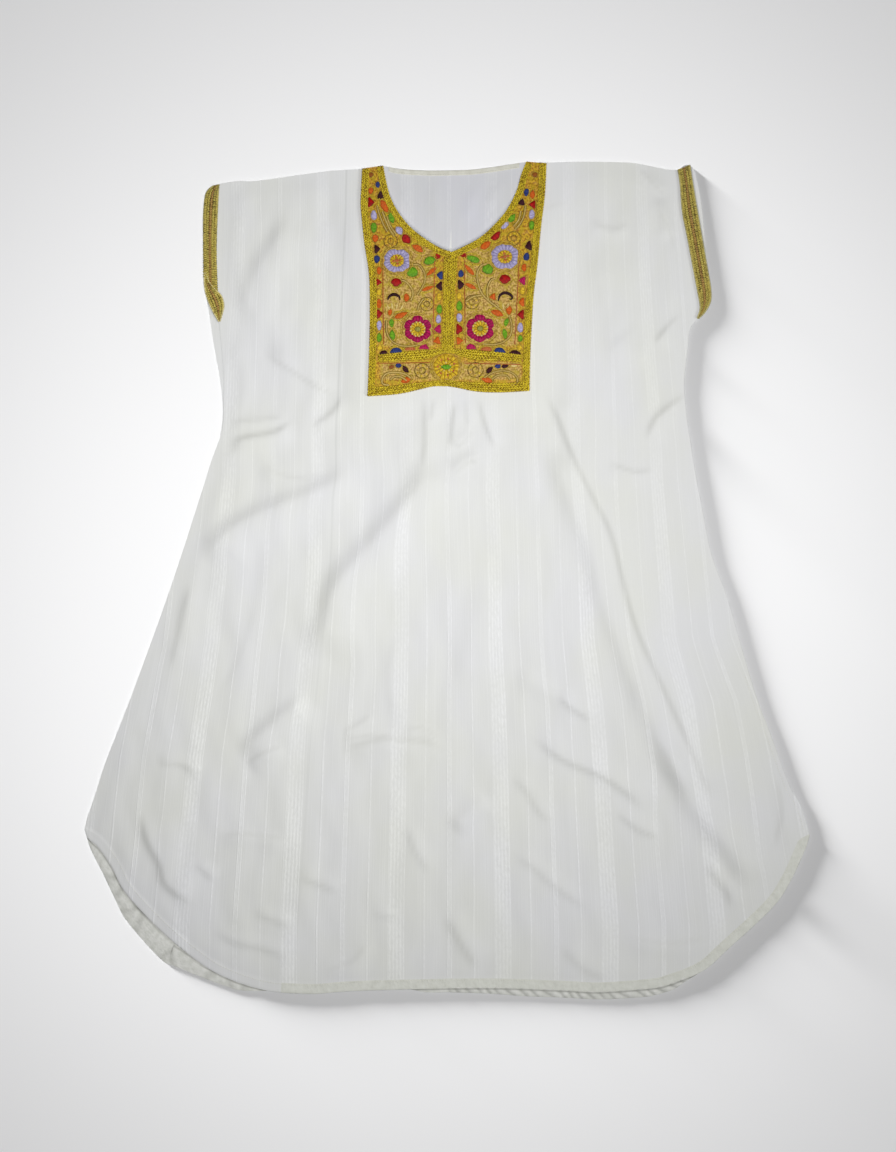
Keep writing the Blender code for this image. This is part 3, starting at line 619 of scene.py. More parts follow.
def striped_cotton(name, plain, satin, pressed):
    """White cotton with satin stripes, from the weave map."""
    finish = Finish(name, roughness=0.75, sheen=0.12)
    across, along = finish.read_weave()
    turns = finish.math("ADD", finish.math("DIVIDE", across, REPEAT), 0.5)
    centred = finish.math("SUBTRACT", finish.math("FRACT", turns), 0.5)
    place = finish.math("MULTIPLY", finish.math("ABSOLUTE", centred), 2.0)
    stripes = finish.add("ValToRGB", {0: place})
    stops = stripes.node.color_ramp.elements
    stops[0].position, stops[1].position = STRIPES[0][0], STRIPES[-1][0]
    for position, _ in STRIPES[1:-1]:
        stops.new(position)
    for stop, (_, value) in zip(stops, STRIPES):
        stop.color = (value, value, value, 1.0)
    is_broad = finish.ramp(place, 0.80, 0.84, last=0.30)
    between = finish.math("SUBTRACT", 1.0, finish.wave(across, SATIN_THREAD))
    thread_share = finish.math("SUBTRACT", 1.0, finish.math("MULTIPLY", is_broad, between))
    broken = finish.math("MULTIPLY_ADD", finish.noise((330.0, 150.0)), 2.4, -0.3)
    # Painted sheen: the satin shows whiter towards the hem, and it is broken in clouds at random.
    painted_sheen_share = finish.math("MULTIPLY", finish.ramp(along, -0.25, 0.15, 1.15, 0.6),
                        finish.ramp(finish.noise((16.0, 7.0)), 0.38, 0.6, 0.5))
    satin_share = finish.math("MULTIPLY", finish.math("MULTIPLY", stripes, thread_share), broken)
    satin_share = finish.math("MULTIPLY", satin_share, painted_sheen_share)
    streaks = finish.ramp(finish.noise((640.0, 4.0), 3.0), 0.48, 0.78, last=0.30)
    shine = finish.math("MAXIMUM", satin_share, streaks)
    clouds = finish.ramp(finish.noise((9.0, 6.0), 3.0), 0.36, 0.64)
    tint = finish.mix(clouds, (0.982, 0.988, 0.948, 1.0), (0.986, 0.989, 1.004, 1.0))
    colour = finish.multiply(finish.mix(shine, plain, satin), tint)
    line = finish.math("ADD", finish.math("MULTIPLY", along, PRESSED_LINE[1]), PRESSED_LINE[0])
    off_line = finish.math("ABSOLUTE", finish.math("SUBTRACT", across, line))
    pressed_dent_and_shade = finish.math("MULTIPLY", finish.ramp(off_line, 0.0004, 0.0024, pressed, 0.0),
                          finish.ramp(along, 0.0, 0.2, 0.6, 1.6))
    # Painted shade along the pressed line: the colour goes towards grey there, and the bump below
    # dents it.
    colour = finish.mix(pressed_dent_and_shade, colour, (0.50, 0.51, 0.49, 1.0))
    # Painted shade in the creases: the cloth is greyed by each point's crease value.
    painted_crease_shade = finish.mix(finish.carried("crease"), (1.0, 1.0, 1.0, 1.0), (0.91, 0.91, 0.90, 1.0))
    finish.paint(finish.multiply(colour, painted_crease_shade))
    finish.join(finish.shader.inputs["Roughness"],
                finish.math("MULTIPLY_ADD", shine, -0.22, 0.78))
    crinkle = finish.noise((60.0, 14.0), 4.0)
    relief = finish.math("MULTIPLY_ADD", crinkle, 1.6, shine)
    finish.bump(finish.math("SUBTRACT", relief, pressed_dent_and_shade), 0.00025, 0.8)
    return finish.material


WHITE_COTTON = striped_cotton("white_cotton", (0.71, 0.711, 0.704, 1), (0.79, 0.792, 0.79, 1),
                              0.22)
# Painted shade: the back's inner side in the neck is the same cotton, painted greyer and bluer for
# the shade under the front.
SHADED_INNER_COTTON = striped_cotton("inner_cotton_painted_shade", (0.60, 0.60, 0.635, 1), (0.70, 0.70, 0.73, 1), 0.0)

# %% [markdown]
# The hem is turned up twice, so it is denser than the open cloth and shows no stripes from
# below. A plain cream weave with a little unevenness stands for it, and for the neck facing
# and the white sewing thread.

# %% Plain cotton finish
def plain_cotton(name, shade, worn, pucker=0.0006, painted_shade=None):
    """Cotton with no stripes: a shade, a worn shade in clouds, and small puckers.

    Where a piece has hollows, painted shade darkens them, by its painted light values.
    """
    finish = Finish(name, roughness=0.8, sheen=0.1)
    finish.read_weave()
    share = finish.ramp(finish.noise((120.0, 120.0), 4.0), 0.35, 0.65)
    colour = finish.mix(share, linear(shade), linear(worn))
    if painted_shade is not None:
        colour = finish.mix(finish.carried("painted_light"), linear(painted_shade), colour)
    finish.paint(colour)
    finish.bump(finish.noise((170.0, 110.0), 3.0), pucker, 1.0)
    return finish.material


HEM_COTTON = plain_cotton("hem_cotton", (219, 220, 212), (210, 211, 202), 0.0011)
# The last colour is the painted shade in the rolled hem's pinches and under the front's edge.
ROLL_COTTON = plain_cotton("roll_cotton", (227, 227, 222), (212, 213, 206), 0.001, (118, 118, 110))
FACING_COTTON = plain_cotton("facing_cotton", (214, 213, 202), (202, 200, 188))
SEWING_THREAD = plain_cotton("sewing_thread", (226, 226, 214), (212, 212, 200))
print("cotton repeat: %.1f mm" % (REPEAT / MM))

# %% [markdown]
# ## The front
# Each half of the front is a patch between four edges. Coons' blend fills it: the blend of the
# two sides, plus the blend of foot and top, less the blend of the corners. The turned-up hem
# is a band of its own rows below the patch, so that its inner edge runs level with the hem.
# It is narrow at the side seams, and at the far left it looks no denser than the open cloth.
# The stripes' flat lengths come from how far the real cloth spreads towards its hem.

# %% Patch and flat lengths
HEM_BAND, HEM_START = 13.0, 2.5
# The band grows to its full width over this stretch of the hem, from the side seam on
BAND_GROWTH = (-12, 14)
# Share of the band's width, wall thickness
BAND_ROWS = ((0.0, 1.2), (0.06, 1.5), (0.2, 1.65), (0.4, 1.6), (0.62, 1.55), (0.82, 1.55),
             (0.92, 1.4), (1.0, 1.2))
BODY_ROWS, UNDERARM_ROWS, SLEEVE_ROWS, HALF_COLUMNS = 158, 34, 40, 98
# The turned-up hem looks denser only to the right of this place
PLAIN_HEM = -215.0
# Spread of the cloth: place along the garment, width of a repeat against its woven width
SPREAD = np.array(((-449, 1.13), (-229, 1.07), (-84, 1.00), (134, 0.93), (463, 0.89)))
RIGHT_EASE = np.array(((-449, 0), (-157, 6), (-71, 17), (164, 17), (500, 29)))
STRIPE_CENTRE, EASE_WIDTH, FOLD_TAKE = 2.6, 273.0, 0.55


def patch(outer, inner, foot, top):
    """A grid of points that fills four border lines, by Coons' blend of opposite borders."""
    across = np.linspace(0, 1, len(foot))[None, :, None]
    up = np.mean([run_of(line) / run_of(line)[-1] for line in (outer, inner)], axis=0)
    up = up[:, None, None]
    sides = (1 - across) * outer[:, None] + across * inner[:, None]
    ends = (1 - up) * foot[None] + up * top[None]
    low = (1 - across) * foot[0] + across * foot[-1]
    high = (1 - across) * top[0] + across * top[-1]
    return sides + ends - (1 - up) * low - up * high


def flat_lengths(points):
    """Woven lengths of places on the laid cloth: across the stripes, and along them.

    The distance from the centre is divided by the spread, and the right side is eased inward.
    Across a fold the stripes step aside, because some cloth is taken up in it.
    """
    x, y = points.T
    spread = np.interp(y, *SPREAD.T)
    eased = np.interp(y, *RIGHT_EASE.T) * (np.maximum(x, 0) / EASE_WIDTH) ** 2
    taken = np.zeros(len(points))
    for fold in FOLDS:
        route = smooth_line(fold.route, CURVE_STEPS)
        gap, side, along = nearest(points, route)
        ends = fold_ends(route, along)
        way = (route[-1] - route[0]) / np.linalg.norm(route[-1] - route[0])
        step = np.tanh(side * gap / fold.steep) * np.exp(-(gap / fold.gentle / 2) ** 2)
        taken += FOLD_TAKE * fold.height * ends * way[1] * step
    return np.column_stack([(x - STRIPE_CENTRE + eased - taken) / spread, y])


# %% [markdown]
# The two halves are joined along the centre up to the point of the V neck. Above it they part.
# The wall is 1.2 mm, and it is thicker in the turned-up hem.

# %% Front cloth
def hem_band_line(half, count):
    """The inner edge of the turned-up hem: the hem moved inward, narrow at the side seam."""
    line = edge(HEM, half, count)
    inward = left_hand(line) * (1 if half == "left" else -1)
    width = HEM_BAND * ease(*BAND_GROWTH, run_of(line))
    return line, line + width[:, None] * inward


def front_half(half):
    """One half of the front as a grid from hem to shoulder, and each row's wall thickness."""
    line, band = hem_band_line(half, HALF_COLUMNS + 1)
    side = edge(SIDE, half, FINE_POINTS)
    band[0] = at_lengths(side, [HEM_START])[0]
    band[-1] = (HEM_CENTRE[0], HEM_CENTRE[1] + HEM_BAND)
    upper_side = at_lengths(side, np.linspace(HEM_START, run_of(side)[-1], BODY_ROWS))
    outer = chain(upper_side, edge(UNDERARM, half, UNDERARM_ROWS), edge(SLEEVE, half, SLEEVE_ROWS))
    centre = np.linspace(band[-1], NECK_V, BODY_ROWS + UNDERARM_ROWS - 1)
    inner = chain(centre, edge(NECKLINE, half, SLEEVE_ROWS))
    body = patch(outer, inner, band, edge(SHOULDER, half, HALF_COLUMNS + 1))
    shares = np.array(BAND_ROWS)[:-1, 0, None, None]
    rows = np.concatenate([line + shares * (band - line), body])
    walls = np.full(len(rows), FRONT_WALL)
    walls[:len(BAND_ROWS)] = np.array(BAND_ROWS)[:, 1]
    return rows, walls


def join_halves(left, right, joined_rows):
    """Points and faces of two half grids that share their inner column up to a row."""
    rows, columns = left.shape[:2]
    count = rows * columns
    points = np.concatenate([left.reshape(-1, 2), right.reshape(-1, 2)])
    faces = grid_faces(1, rows, columns)
    turned = faces[:, ::-1] + count
    shared = np.arange(joined_rows) * columns + columns - 1
    target = np.arange(2 * count)
    target[shared + count] = shared
    faces = target[np.vstack([faces, turned])]
    used, index = np.unique(faces, return_inverse=True)
    return points[used], index.reshape(-1, 4), used % count // columns


def add_cloth(name, points, faces, base, walls, finish, replaced, weave=None):
    """A closed cloth shell over flat points: the lower side at base, the upper a wall above."""
    lower = np.column_stack([points, base])
    upper = np.column_stack([points, base + walls])
    weave = flat_lengths(points) if weave is None else weave
    piece = add_piece(name, np.vstack([upper, lower]), shell_faces(faces, len(points)), finish,
                      np.vstack([weave, weave]))
    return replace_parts(piece, replaced)


left, row_walls = front_half("left")
right, _ = front_half("right")
joined = len(BAND_ROWS) - 1 + BODY_ROWS + UNDERARM_ROWS - 1
points, faces, row = join_halves(left, right, joined)
walls = row_walls[row]
# The hem's thickness wavers by a tenth along its length
flutter = 1 + 0.10 * np.sin(points[:, 0] / 5.1) * np.sin(points[:, 0] / 13.7 + 1.0)
walls = np.where(row < len(BAND_ROWS) - 1, walls * flutter, walls)
front_cloth = add_cloth("front_cloth", points, faces, FRONT_BASE + lift(points), walls,
                        WHITE_COTTON, "front")
in_band = (row[faces] < len(BAND_ROWS)).all(1) & (points[faces][..., 0].mean(1) > PLAIN_HEM)
second_finish(front_cloth, HEM_COTTON, in_band)
carry(front_cloth.data, "crease", np.tile(crease_painted_shade(points), 2))

# %% [markdown]
# ## The back
# The back lies flat on the table. Its inner side shows in the neck opening, its sleeve edge
# shows beyond the front's on the right, and its hem shows below the front's. It is a patch of
# the same kind. In the neck opening it has a few soft ridges of its own.

# %% Back cloth
BACK_ROWS, BACK_SLEEVE_ROWS, BACK_COLUMNS, NECK_COLUMNS = 90, 56, 60, 20
# Where the back shows in the neck, and the height and reach of its ridges there
NECK_FOOT, NECK_HALF_WIDTH, RIDGE_HEIGHT, RIDGE_REACH, RIDGE_FADE = 430, 115, 1.1, 7, 0.4
NECK_RIDGES = lines_in("""
-58,520 -52,492 -36,470
-20,524 -14,480 -8,452
38,520 30,486 22,458
70,524 62,500 50,480
""")


def back_half(half):
    """One half of the back as a grid from hem to neck and shoulder."""
    side = edge(SIDE, half, BACK_ROWS)
    if half == "right":
        side = resample(chain(edge(SIDE, half), edge(UNDERARM, half)), BACK_ROWS)
    outer = chain(side, edge(BACK_SLEEVE, half, BACK_SLEEVE_ROWS))
    top = chain(edge(SHOULDER, half, BACK_COLUMNS - NECK_COLUMNS + 1),
                edge(BACK_NECK, half, NECK_COLUMNS + 1))
    foot = edge(BACK_HEM, half, BACK_COLUMNS + 1)
    share = (outer[:, 1] - outer[0, 1]) / (outer[-1, 1] - outer[0, 1])
    centre = foot[-1] + share[:, None] * (top[-1] - foot[-1])
    return patch(outer, centre, foot, top)


left, right = back_half("left"), back_half("right")
points, faces, _ = join_halves(left, right, len(left))
ridges = np.zeros(len(points))
for route in NECK_RIDGES:
    gap, _, along = nearest(points, smooth_line(route, CURVE_STEPS))
    ends = ease(0, RIDGE_FADE, along) * ease(0, RIDGE_FADE, 1 - along)
    ridges += RIDGE_HEIGHT * np.exp(-(gap / RIDGE_REACH) ** 2) * ends
back_cloth = add_cloth("back_cloth", points, faces, np.zeros(len(points)), BACK_WALL + ridges,
                       WHITE_COTTON, "back")
# In the neck opening the back takes the painted-shade copy of the cotton.
middle = points[faces].mean(1)
in_neck = (middle[:, 1] > NECK_FOOT) & (np.abs(middle[:, 0]) < NECK_HALF_WIDTH)
second_finish(back_cloth, SHADED_INNER_COTTON, in_neck)

# %% [markdown]
# The back's hem is rolled and sewn down, and it puckers. At the lower left it shows as a flat
# strip with a few cross creases. At the lower right it shows as a thin roll, pinched on the
# slant every 15 mm or so, unevenly, like a cord. Across its width it is a low dome.

# %% Back hem
ROLL_STEP, ROLL_ROWS, ROLL_RISE, ROLL_SINK, ROLL_INSET, EDGE_SHADE = 1.6, 12, 2.3, 0.4, 4.0, 1.2
# The shown width is smoothed over this many points on each side
SMOOTHED = 7
LEFT_CREASES = (70, 96, 118, 148, 196, 214, 262, 296, 312, 340, 372)
CREASE_DEPTH, CREASE_REACH, CREASE_SLANTS, LEFT_RISE = 0.6, 5.0, (-0.35, 0.5), 0.55
RIGHT_PINCH, RIGHT_SLANT = 15.0, -0.6
# The right's pinches drift: height, length and start of each wave
RIGHT_DRIFTS = ((4.0, 21.0, 0.0), (2.5, 8.3, 1.0))


def roll_grid(half):
    """The shown strip of the back's hem as a grid, with its height.

    Across it is a dome, sin(pi q). Along it the dome is pinched: by sine arches whose pitch
    drifts on the right, and by single creases on the left.
    """
    hem = edge(BACK_HEM, half, int(run_of(edge(BACK_HEM, half))[-1] / ROLL_STEP))
    gap, side, _ = nearest(hem, edge(HEM, half, FINE_POINTS))
    outside = side < 0 if half == "left" else side > 0
    shown = np.where(outside, gap, 0.0)
    kernel = np.hanning(2 * SMOOTHED + 1)
    shown = np.convolve(np.pad(shown, SMOOTHED, mode="edge"), kernel / kernel.sum(), mode="valid")
    inward = left_hand(hem) * (1 if half == "left" else -1)
    q = np.linspace(0, 1, ROLL_ROWS)[:, None]
    width = shown + ROLL_INSET * ease(0, 3, shown)
    grid = hem + (q * width)[..., None] * inward
    along = run_of(hem)
    if half == "left":
        pinch = np.ones((ROLL_ROWS, len(hem)))
        for number, place in enumerate(LEFT_CREASES):
            run = along + CREASE_SLANTS[number % 2] * q * width
            pinch -= CREASE_DEPTH * np.exp(-((run - place) / CREASE_REACH) ** 2)
        rise = LEFT_RISE * ROLL_RISE * ease(1.0, 6.0, shown)
    else:
        run = along
        for height, length, start in RIGHT_DRIFTS:
            run = run + height * np.sin(along / length + start)
        turn = np.pi * (run + RIGHT_SLANT * q * width * 2) / RIGHT_PINCH
        pinch = 0.35 + 0.65 * np.abs(np.sin(turn)) ** 0.7
        rise = ROLL_RISE * ease(0.5, 3.0, shown)
    dome = np.sin(np.pi * np.clip(0.08 + 0.92 * q, 0, 1)) ** 0.6
    height = 0.3 + rise * pinch * dome
    # Painted shade: a dark line under the front's hem edge, where its shadow falls, and darker
    # pinches and creases; the depth sets how dark the pinches are.
    under_edge_shadow = np.exp(-((q * width - shown + 0.6) / EDGE_SHADE) ** 2)
    depth = 0.5 if half == "left" else 1.0
    painted_light = (1 - depth * (1 - np.clip(pinch, 0, 1) ** 0.7)) * (1 - 0.6 * under_edge_shadow)
    return grid, height, along, q * width, painted_light


for half in HALVES:
    grid, height, along, across, painted_light = roll_grid(half)
    faces = grid_faces(1, *grid.shape[:2])
    faces = faces[:, ::-1] if half == "right" else faces
    weave = np.stack([across, np.broadcast_to(along, across.shape)], -1).reshape(-1, 2)
    upper = np.dstack([grid, BACK_WALL + height]).reshape(-1, 3)
    lower = np.dstack([grid, np.full_like(height, BACK_WALL - ROLL_SINK)]).reshape(-1, 3)
    roll = add_piece("back_hem_" + half, np.vstack([upper, lower]),
                     shell_faces(faces, len(upper)), ROLL_COTTON, np.vstack([weave, weave]),
                     np.tile(painted_light.ravel(), 2))

# %% [markdown]
# ## Neck facing
# A narrow strip of plain cotton is sewn along the inside of the back's neck. It is a flat band
# with worn edges and a row of stitches near its lower edge.

# %% Neck facing
FACING_EDGE = points_in("-76,538 -61,535 -29,533 0,533 30,534 56,537 82,541 94,543")
FACING_WIDTH, FACING_WALL, FACING_SEAM = 6.5, 0.8, 1.2
# Share across, share of the wall
FACING_ROWS = ((0.0, 0.5), (0.08, 0.9), (0.2, 0.75), (0.5, 1.0), (0.85, 1.0), (1.0, 0.6))


def strip_grid(first, second, rows):
    """Points between two lines at each share across, one row of points for each share."""
    share = np.array(rows)[:, 0, None, None]
    return first + share * (second - first)


top_edge = smooth_line(FACING_EDGE, 120) - (0.0, SEAM_GAP)
grid = strip_grid(top_edge - (0.0, FACING_WIDTH), top_edge, FACING_ROWS)
wall = np.array(FACING_ROWS)[:, 1, None] * FACING_WALL * np.ones(grid.shape[1])
facing = add_cloth("neck_facing", grid.reshape(-1, 2), grid_faces(1, *grid.shape[:2])[:, ::-1],
                   np.full(wall.size, BACK_WALL + SEAM_GAP), wall.ravel(), FACING_COTTON,
                   "back_neck_band", weave=grid.reshape(-1, 2))

# %% [markdown]
# ## Rows of stitches
# A machine stitch is a short thread that dips into the cloth at both ends. One stitch is a
# small arched grid, and a seam repeats it along its line as one joined mesh.

# %% Sewn lines
STITCH_LENGTH, STITCH_PITCH, STITCH_WIDTH, STITCH_SINK = 2.4, 3.4, 0.55, 0.05
# Share of the hem's width, inset from the side, and the stretch of the side that is sewn
HEM_LINE, HEM_LINE_START, SIDE_INSET, SIDE_SEWN = 0.86, 40, 6.0, (-325, -120)


def add_stitches(name, line, heights):
    """Stitches along a line: each an arch along its length, and a half round across."""
    count = int(run_of(line)[-1] / STITCH_PITCH)
    places = (np.arange(count) + 0.5) * STITCH_PITCH
    centre = at_lengths(np.column_stack([line, heights]), places)
    side = at_lengths(left_hand(line), places)
    side /= np.linalg.norm(side, axis=1)[:, None]
    way = np.column_stack([side[:, 1], -side[:, 0]])
    t = np.linspace(-1, 1, 6)[:, None]
    turn = np.radians([-30, 30, 90, 150, 210])[None]
    girth = STITCH_WIDTH / 2 * np.sqrt(np.clip(1 - 0.9 * t ** 2, 0, 1))
    along = STITCH_LENGTH / 2 * t * np.ones_like(turn)
    aside = girth * np.cos(turn)
    up = 0.35 * (1 - t ** 2) + girth * np.sin(turn)
    flat = (centre[:, None, None, :2] + along[..., None] * way[:, None, None]
            + aside[..., None] * side[:, None, None])
    height = centre[:, None, None, 2] + up
    points = np.concatenate([flat, height[..., None]], -1)
    weave = np.broadcast_to(np.stack([aside, along], -1), flat.shape)
    return add_piece(name, points.reshape(-1, 3), grid_faces(count, 6, 5, wrap=True),
                     SEWING_THREAD, weave.reshape(-1, 2))


for half in HALVES:
    line, band = hem_band_line(half, FINE_POINTS)
    stitch_line = line + HEM_LINE * (band - line)
    stitch_line = stitch_line[run_of(stitch_line) > HEM_LINE_START]
    heights = FRONT_BASE + lift(stitch_line) + BAND_ROWS[5][1] - STITCH_SINK
    add_stitches("hem_stitches_" + half, stitch_line, heights)
side_line = edge(SIDE, "right", 300)
side_line = side_line + SIDE_INSET * left_hand(side_line)
side_line = side_line[(side_line[:, 1] > SIDE_SEWN[0]) & (side_line[:, 1] < SIDE_SEWN[1])]
heights = FRONT_BASE + lift(side_line) + FRONT_WALL - STITCH_SINK
add_stitches("side_stitches", side_line, heights)
facing_line = top_edge - (0.0, FACING_WIDTH - FACING_SEAM)
heights = np.full(len(facing_line), BACK_WALL + SEAM_GAP + FACING_WALL)
add_stitches("facing_stitches", facing_line, heights)

# %% [markdown]
# ## Yoke ground
# The yoke is a panel of beige satin, covered with fine gold darning. It is the ground that all
# cords and motifs are couched on. It is a patch like the front, over the yoke's lift. The
# narrow fields beside the borders are stitched in a deeper gold, and each point of the cloth
# carries the share of that gold.

# %% Gold ground finish
def stitched_ground(name):
    """Beige satin under short gold stitches, deeper gold where the field attribute says so."""
    finish = Finish(name, roughness=0.55, metallic=0.1, specular=0.15)
    finish.read_weave()
    grain = finish.noise((430.0, 360.0), 3.0)
    blotch = finish.noise((150.0, 150.0), 3.0)
    field = finish.carried("field")
    light = finish.mix(field, linear((199, 167, 94)), linear((200, 161, 42)))
    dark = finish.mix(field, linear((138, 106, 38)), linear((140, 93, 14)))
    colour = finish.mix(finish.ramp(grain, 0.40, 0.58), dark, light)
    olive = finish.ramp(blotch, 0.50, 0.60, last=0.6)
    colour = finish.mix(olive, colour, linear((168, 148, 28)))
    rosy = finish.ramp(blotch, 0.34, 0.46, 0.35, 0.0)
    finish.paint(finish.mix(rosy, colour, linear((184, 140, 86))))
    finish.bump(grain, 0.0006, 0.7)
    return finish.material


GOLD_GROUND = stitched_ground("gold_ground")

# %% Yoke cloth
YOKE_ROWS, YOKE_COLUMNS = 72, 44
PANEL_EDGES = ((-82, -17), (23, 92))
PANEL_LOW, PANEL_HIGH = 305, 425
BAND_LOW, BAND_HIGH = 259, 284


def yoke_half(half):
    """One half of the yoke as a grid, from its foot to the shoulder."""
    inner = chain(np.linspace((1, 252), NECK_V, YOKE_ROWS), edge(NECKLINE, half, YOKE_ROWS))
    outer = edge(YOKE_SIDE, half, 2 * YOKE_ROWS - 1)
    top = np.linspace(outer[-1], inner[-1], YOKE_COLUMNS)
    return patch(outer, inner, edge(YOKE_FOOT, half, YOKE_COLUMNS), top)


def gold_field(points):
    """1 in the gold fields by the borders, and 0 in the two beige panels and the low band."""
    x, y = points.T
    beige = np.zeros(len(points))
    for low, high in PANEL_EDGES:
        panel = ease(low - 2, low + 1, x) * ease(-high - 1, -high + 2, -x)
        beige += panel * ease(PANEL_LOW - 2, PANEL_LOW, y) * (1 - ease(PANEL_HIGH, 440, y))
    beige += ease(-88, -84, x) * (1 - ease(94, 98, x)) * ease(BAND_LOW, BAND_LOW + 3, y) * (
        1 - ease(BAND_HIGH - 3, BAND_HIGH, y))
    return np.clip(1 - beige, 0, 1)


points, faces, _ = join_halves(yoke_half("left"), yoke_half("right"), YOKE_ROWS)
yoke_cloth = add_cloth("yoke_cloth", points, faces, YOKE_BASE + yoke_lift(points),
                       np.full(len(points), YOKE_WALL), GOLD_GROUND, "yoke", weave=points)
carry(yoke_cloth.data, "field", np.tile(gold_field(points), 2))

# %% [markdown]
# ## Gold cord
# The borders are rows of gold cord, laid side by side and sewn down. Each cord is two strands
# twisted together. Each border cord is twisted the opposite way to its neighbours, which
# gives the plaited look. A twisted cord is a ring of points carried along a path, whose radius
# swells twice round the ring and turns as it goes.

# %% Gold finish
GOLD_WRAP = 0.0005


def gold_thread(name, lit_tone, shaded_tone, roughness=0.42, metallic=0.35):
    """Metallic thread: painted highlight on the crowns and painted shade between, with glints and
    fine threads.
    """
    finish = Finish(name, roughness=roughness, metallic=metallic)
    _, along = finish.read_weave()
    grain = finish.noise((330.0, 300.0), 3.0)
    patches = finish.math("MULTIPLY_ADD", finish.noise((90.0, 40.0)), 1.6, -0.8)
    worn = finish.math("ADD", patches, finish.math("MULTIPLY_ADD", grain, 2.4, -1.1))
    # Painted light: the lit tone follows each point's painted light, with random wear and grain on
    # top.
    share = finish.math("ADD", finish.math("MULTIPLY", finish.carried("painted_light"), 0.95), worn)
    finish.paint(finish.mix(finish.ramp(share, 0.0, 0.9), linear(shaded_tone), linear(lit_tone)))
    wraps = finish.wave(along, GOLD_WRAP)
    finish.bump(finish.math("MULTIPLY_ADD", wraps, 0.25, grain), 0.0003, 0.8)
    return finish.material


COUCHED_GOLD = gold_thread("couched_gold", (224, 200, 40), (136, 106, 6))
BRAID_GOLD = gold_thread("braid_gold", (190, 173, 82), (72, 55, 12), 0.38, 0.4)
BRAID_BROWN = gold_thread("braid_brown", (172, 136, 70), (84, 54, 18), 0.4, 0.35)
OUTLINE_GOLD = gold_thread("outline_gold", (206, 176, 62), (134, 98, 16), 0.45, 0.25)
SHADE_GOLD = gold_thread("shade_gold", (164, 134, 36), (92, 68, 8), 0.5, 0.2)
PALE_GOLD = gold_thread("pale_gold", (194, 184, 120), (120, 106, 52), 0.42, 0.3)
# A brighter copy of the pale edge gold, as painted highlight on the raised turned end's edges.
TURN_GOLD_LIT = gold_thread("turn_gold_painted_highlight", (220, 208, 146), (162, 142, 74), 0.42, 0.3)

# %% Twisted cords
# Step along a cord, and how far cords that lie side by side press into each other
CORD_STEP, ROW_OVERLAP = 0.55, 1.12
# Length over which a cord narrows to nothing at its end
CORD_END = 0.8
RING = np.radians([-25, 20, 62, 118, 160, 205])


def rows_between(first, second, rows):
    """Paths side by side between two matched edge lines, both edges, and the width between."""
    places = np.arange(len(first))
    share = np.linspace(0, len(first) - 1, int(run_of(first)[-1] / CORD_STEP))
    one, other = [np.column_stack([np.interp(share, places, column) for column in line.T])
                  for line in (first, second)]
    across = ((np.arange(rows) + 0.5) / rows)[:, None, None]
    return one + across * (other - one), one, other, np.linalg.norm(other - one, axis=1)


def cord_points(paths, radius, base, pitch, twist, swell=0.24, flat=0.85, depth=1.0):
    """Rings of points along several paths at once, with the painted light of each point.

    Round the ring at angle f and length s, the radius is r (1 + swell cos(2f t - 2 pi s / pitch
    + drift)). The twist t is 1 or -1, or 0 for a row of beads. The drift is two slow sines of
    s, so that no two rows keep step. It narrows to nothing at both ends, which closes it. Each
    point's painted light is lit on the ring's top and painted shade down its sides; the depth
    is the share of it that is lost between two swells, as painted shade.
    """
    side = left_hand(paths)
    step = np.linalg.norm(np.diff(paths, axis=1), axis=2)
    run = np.concatenate([np.zeros((len(paths), 1)), np.cumsum(step, axis=1)], axis=1)
    sense = np.asarray(twist, float)[:, None, None]
    number = 7.3 * np.arange(len(paths))[:, None, None]
    drift = 1.4 * np.sin(run[..., None] / 6.1 + number) + np.sin(run[..., None] / 2.7 - number)
    drift = depth * drift + (1 - depth) * 2.0 * number
    wave = np.cos(2 * RING[None, None] * sense - 2 * np.pi * run[..., None] / pitch + drift)
    share = run / run[:, -1:]
    ends = np.clip(np.minimum(share, 1 - share) * run[:, -1:] / CORD_END, 0.02, 1) ** 0.5
    girth = (np.asarray(radius) * ends)[..., None] * (1 + swell * wave)
    flat_points = paths[:, :, None] + (girth * np.cos(RING))[..., None] * side[:, :, None]
    height = base[..., None] + flat * girth * (np.sin(RING) + 0.25)
    points = np.concatenate([flat_points, height[..., None]], axis=-1)
    # Painted light: lit on the top of the ring, painted shade down its sides and between swells.
    painted_light = (1 - depth * (0.5 - 0.5 * wave)) * np.clip(1.4 * np.sin(RING) - 0.1, 0, 1)
    weave = np.stack([girth * np.cos(RING) + number, run[..., None] + number + 0 * girth], -1)
    return points, painted_light, weave


def add_cords(name, paths, radius, base, pitch, twist, finish, swell=0.24, flat=0.85,
              depth=1.0):
    """Cords along equal paths as one joined mesh, with their ends capped."""
    points, painted_light, weave = cord_points(paths, radius, base, pitch, twist, swell, flat, depth)
    return add_piece(name, points.reshape(-1, 3), tube_faces(*painted_light.shape), finish,
                     weave.reshape(-1, 2), painted_light)


def on_yoke(paths):
    """Height of the yoke's upper side under each point of some paths."""
    flat = paths.reshape(-1, 2)
    return (YOKE_TOP + yoke_lift(flat)).reshape(paths.shape[:-1])


def couched_rows(name, first, second, rows, replaced, pitch=3.6):
    """A border of cords side by side between two matched edge lines."""
    paths, _, _, gap = rows_between(first, second, rows)
    radius = np.minimum(gap, np.median(gap) * 1.25) / rows / 2 * ROW_OVERLAP
    twist = np.where(np.arange(rows) % 2, -1, 1)
    piece = add_cords(name, paths, radius, on_yoke(paths), pitch, twist, COUCHED_GOLD)
    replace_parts(piece, replaced)
    return piece


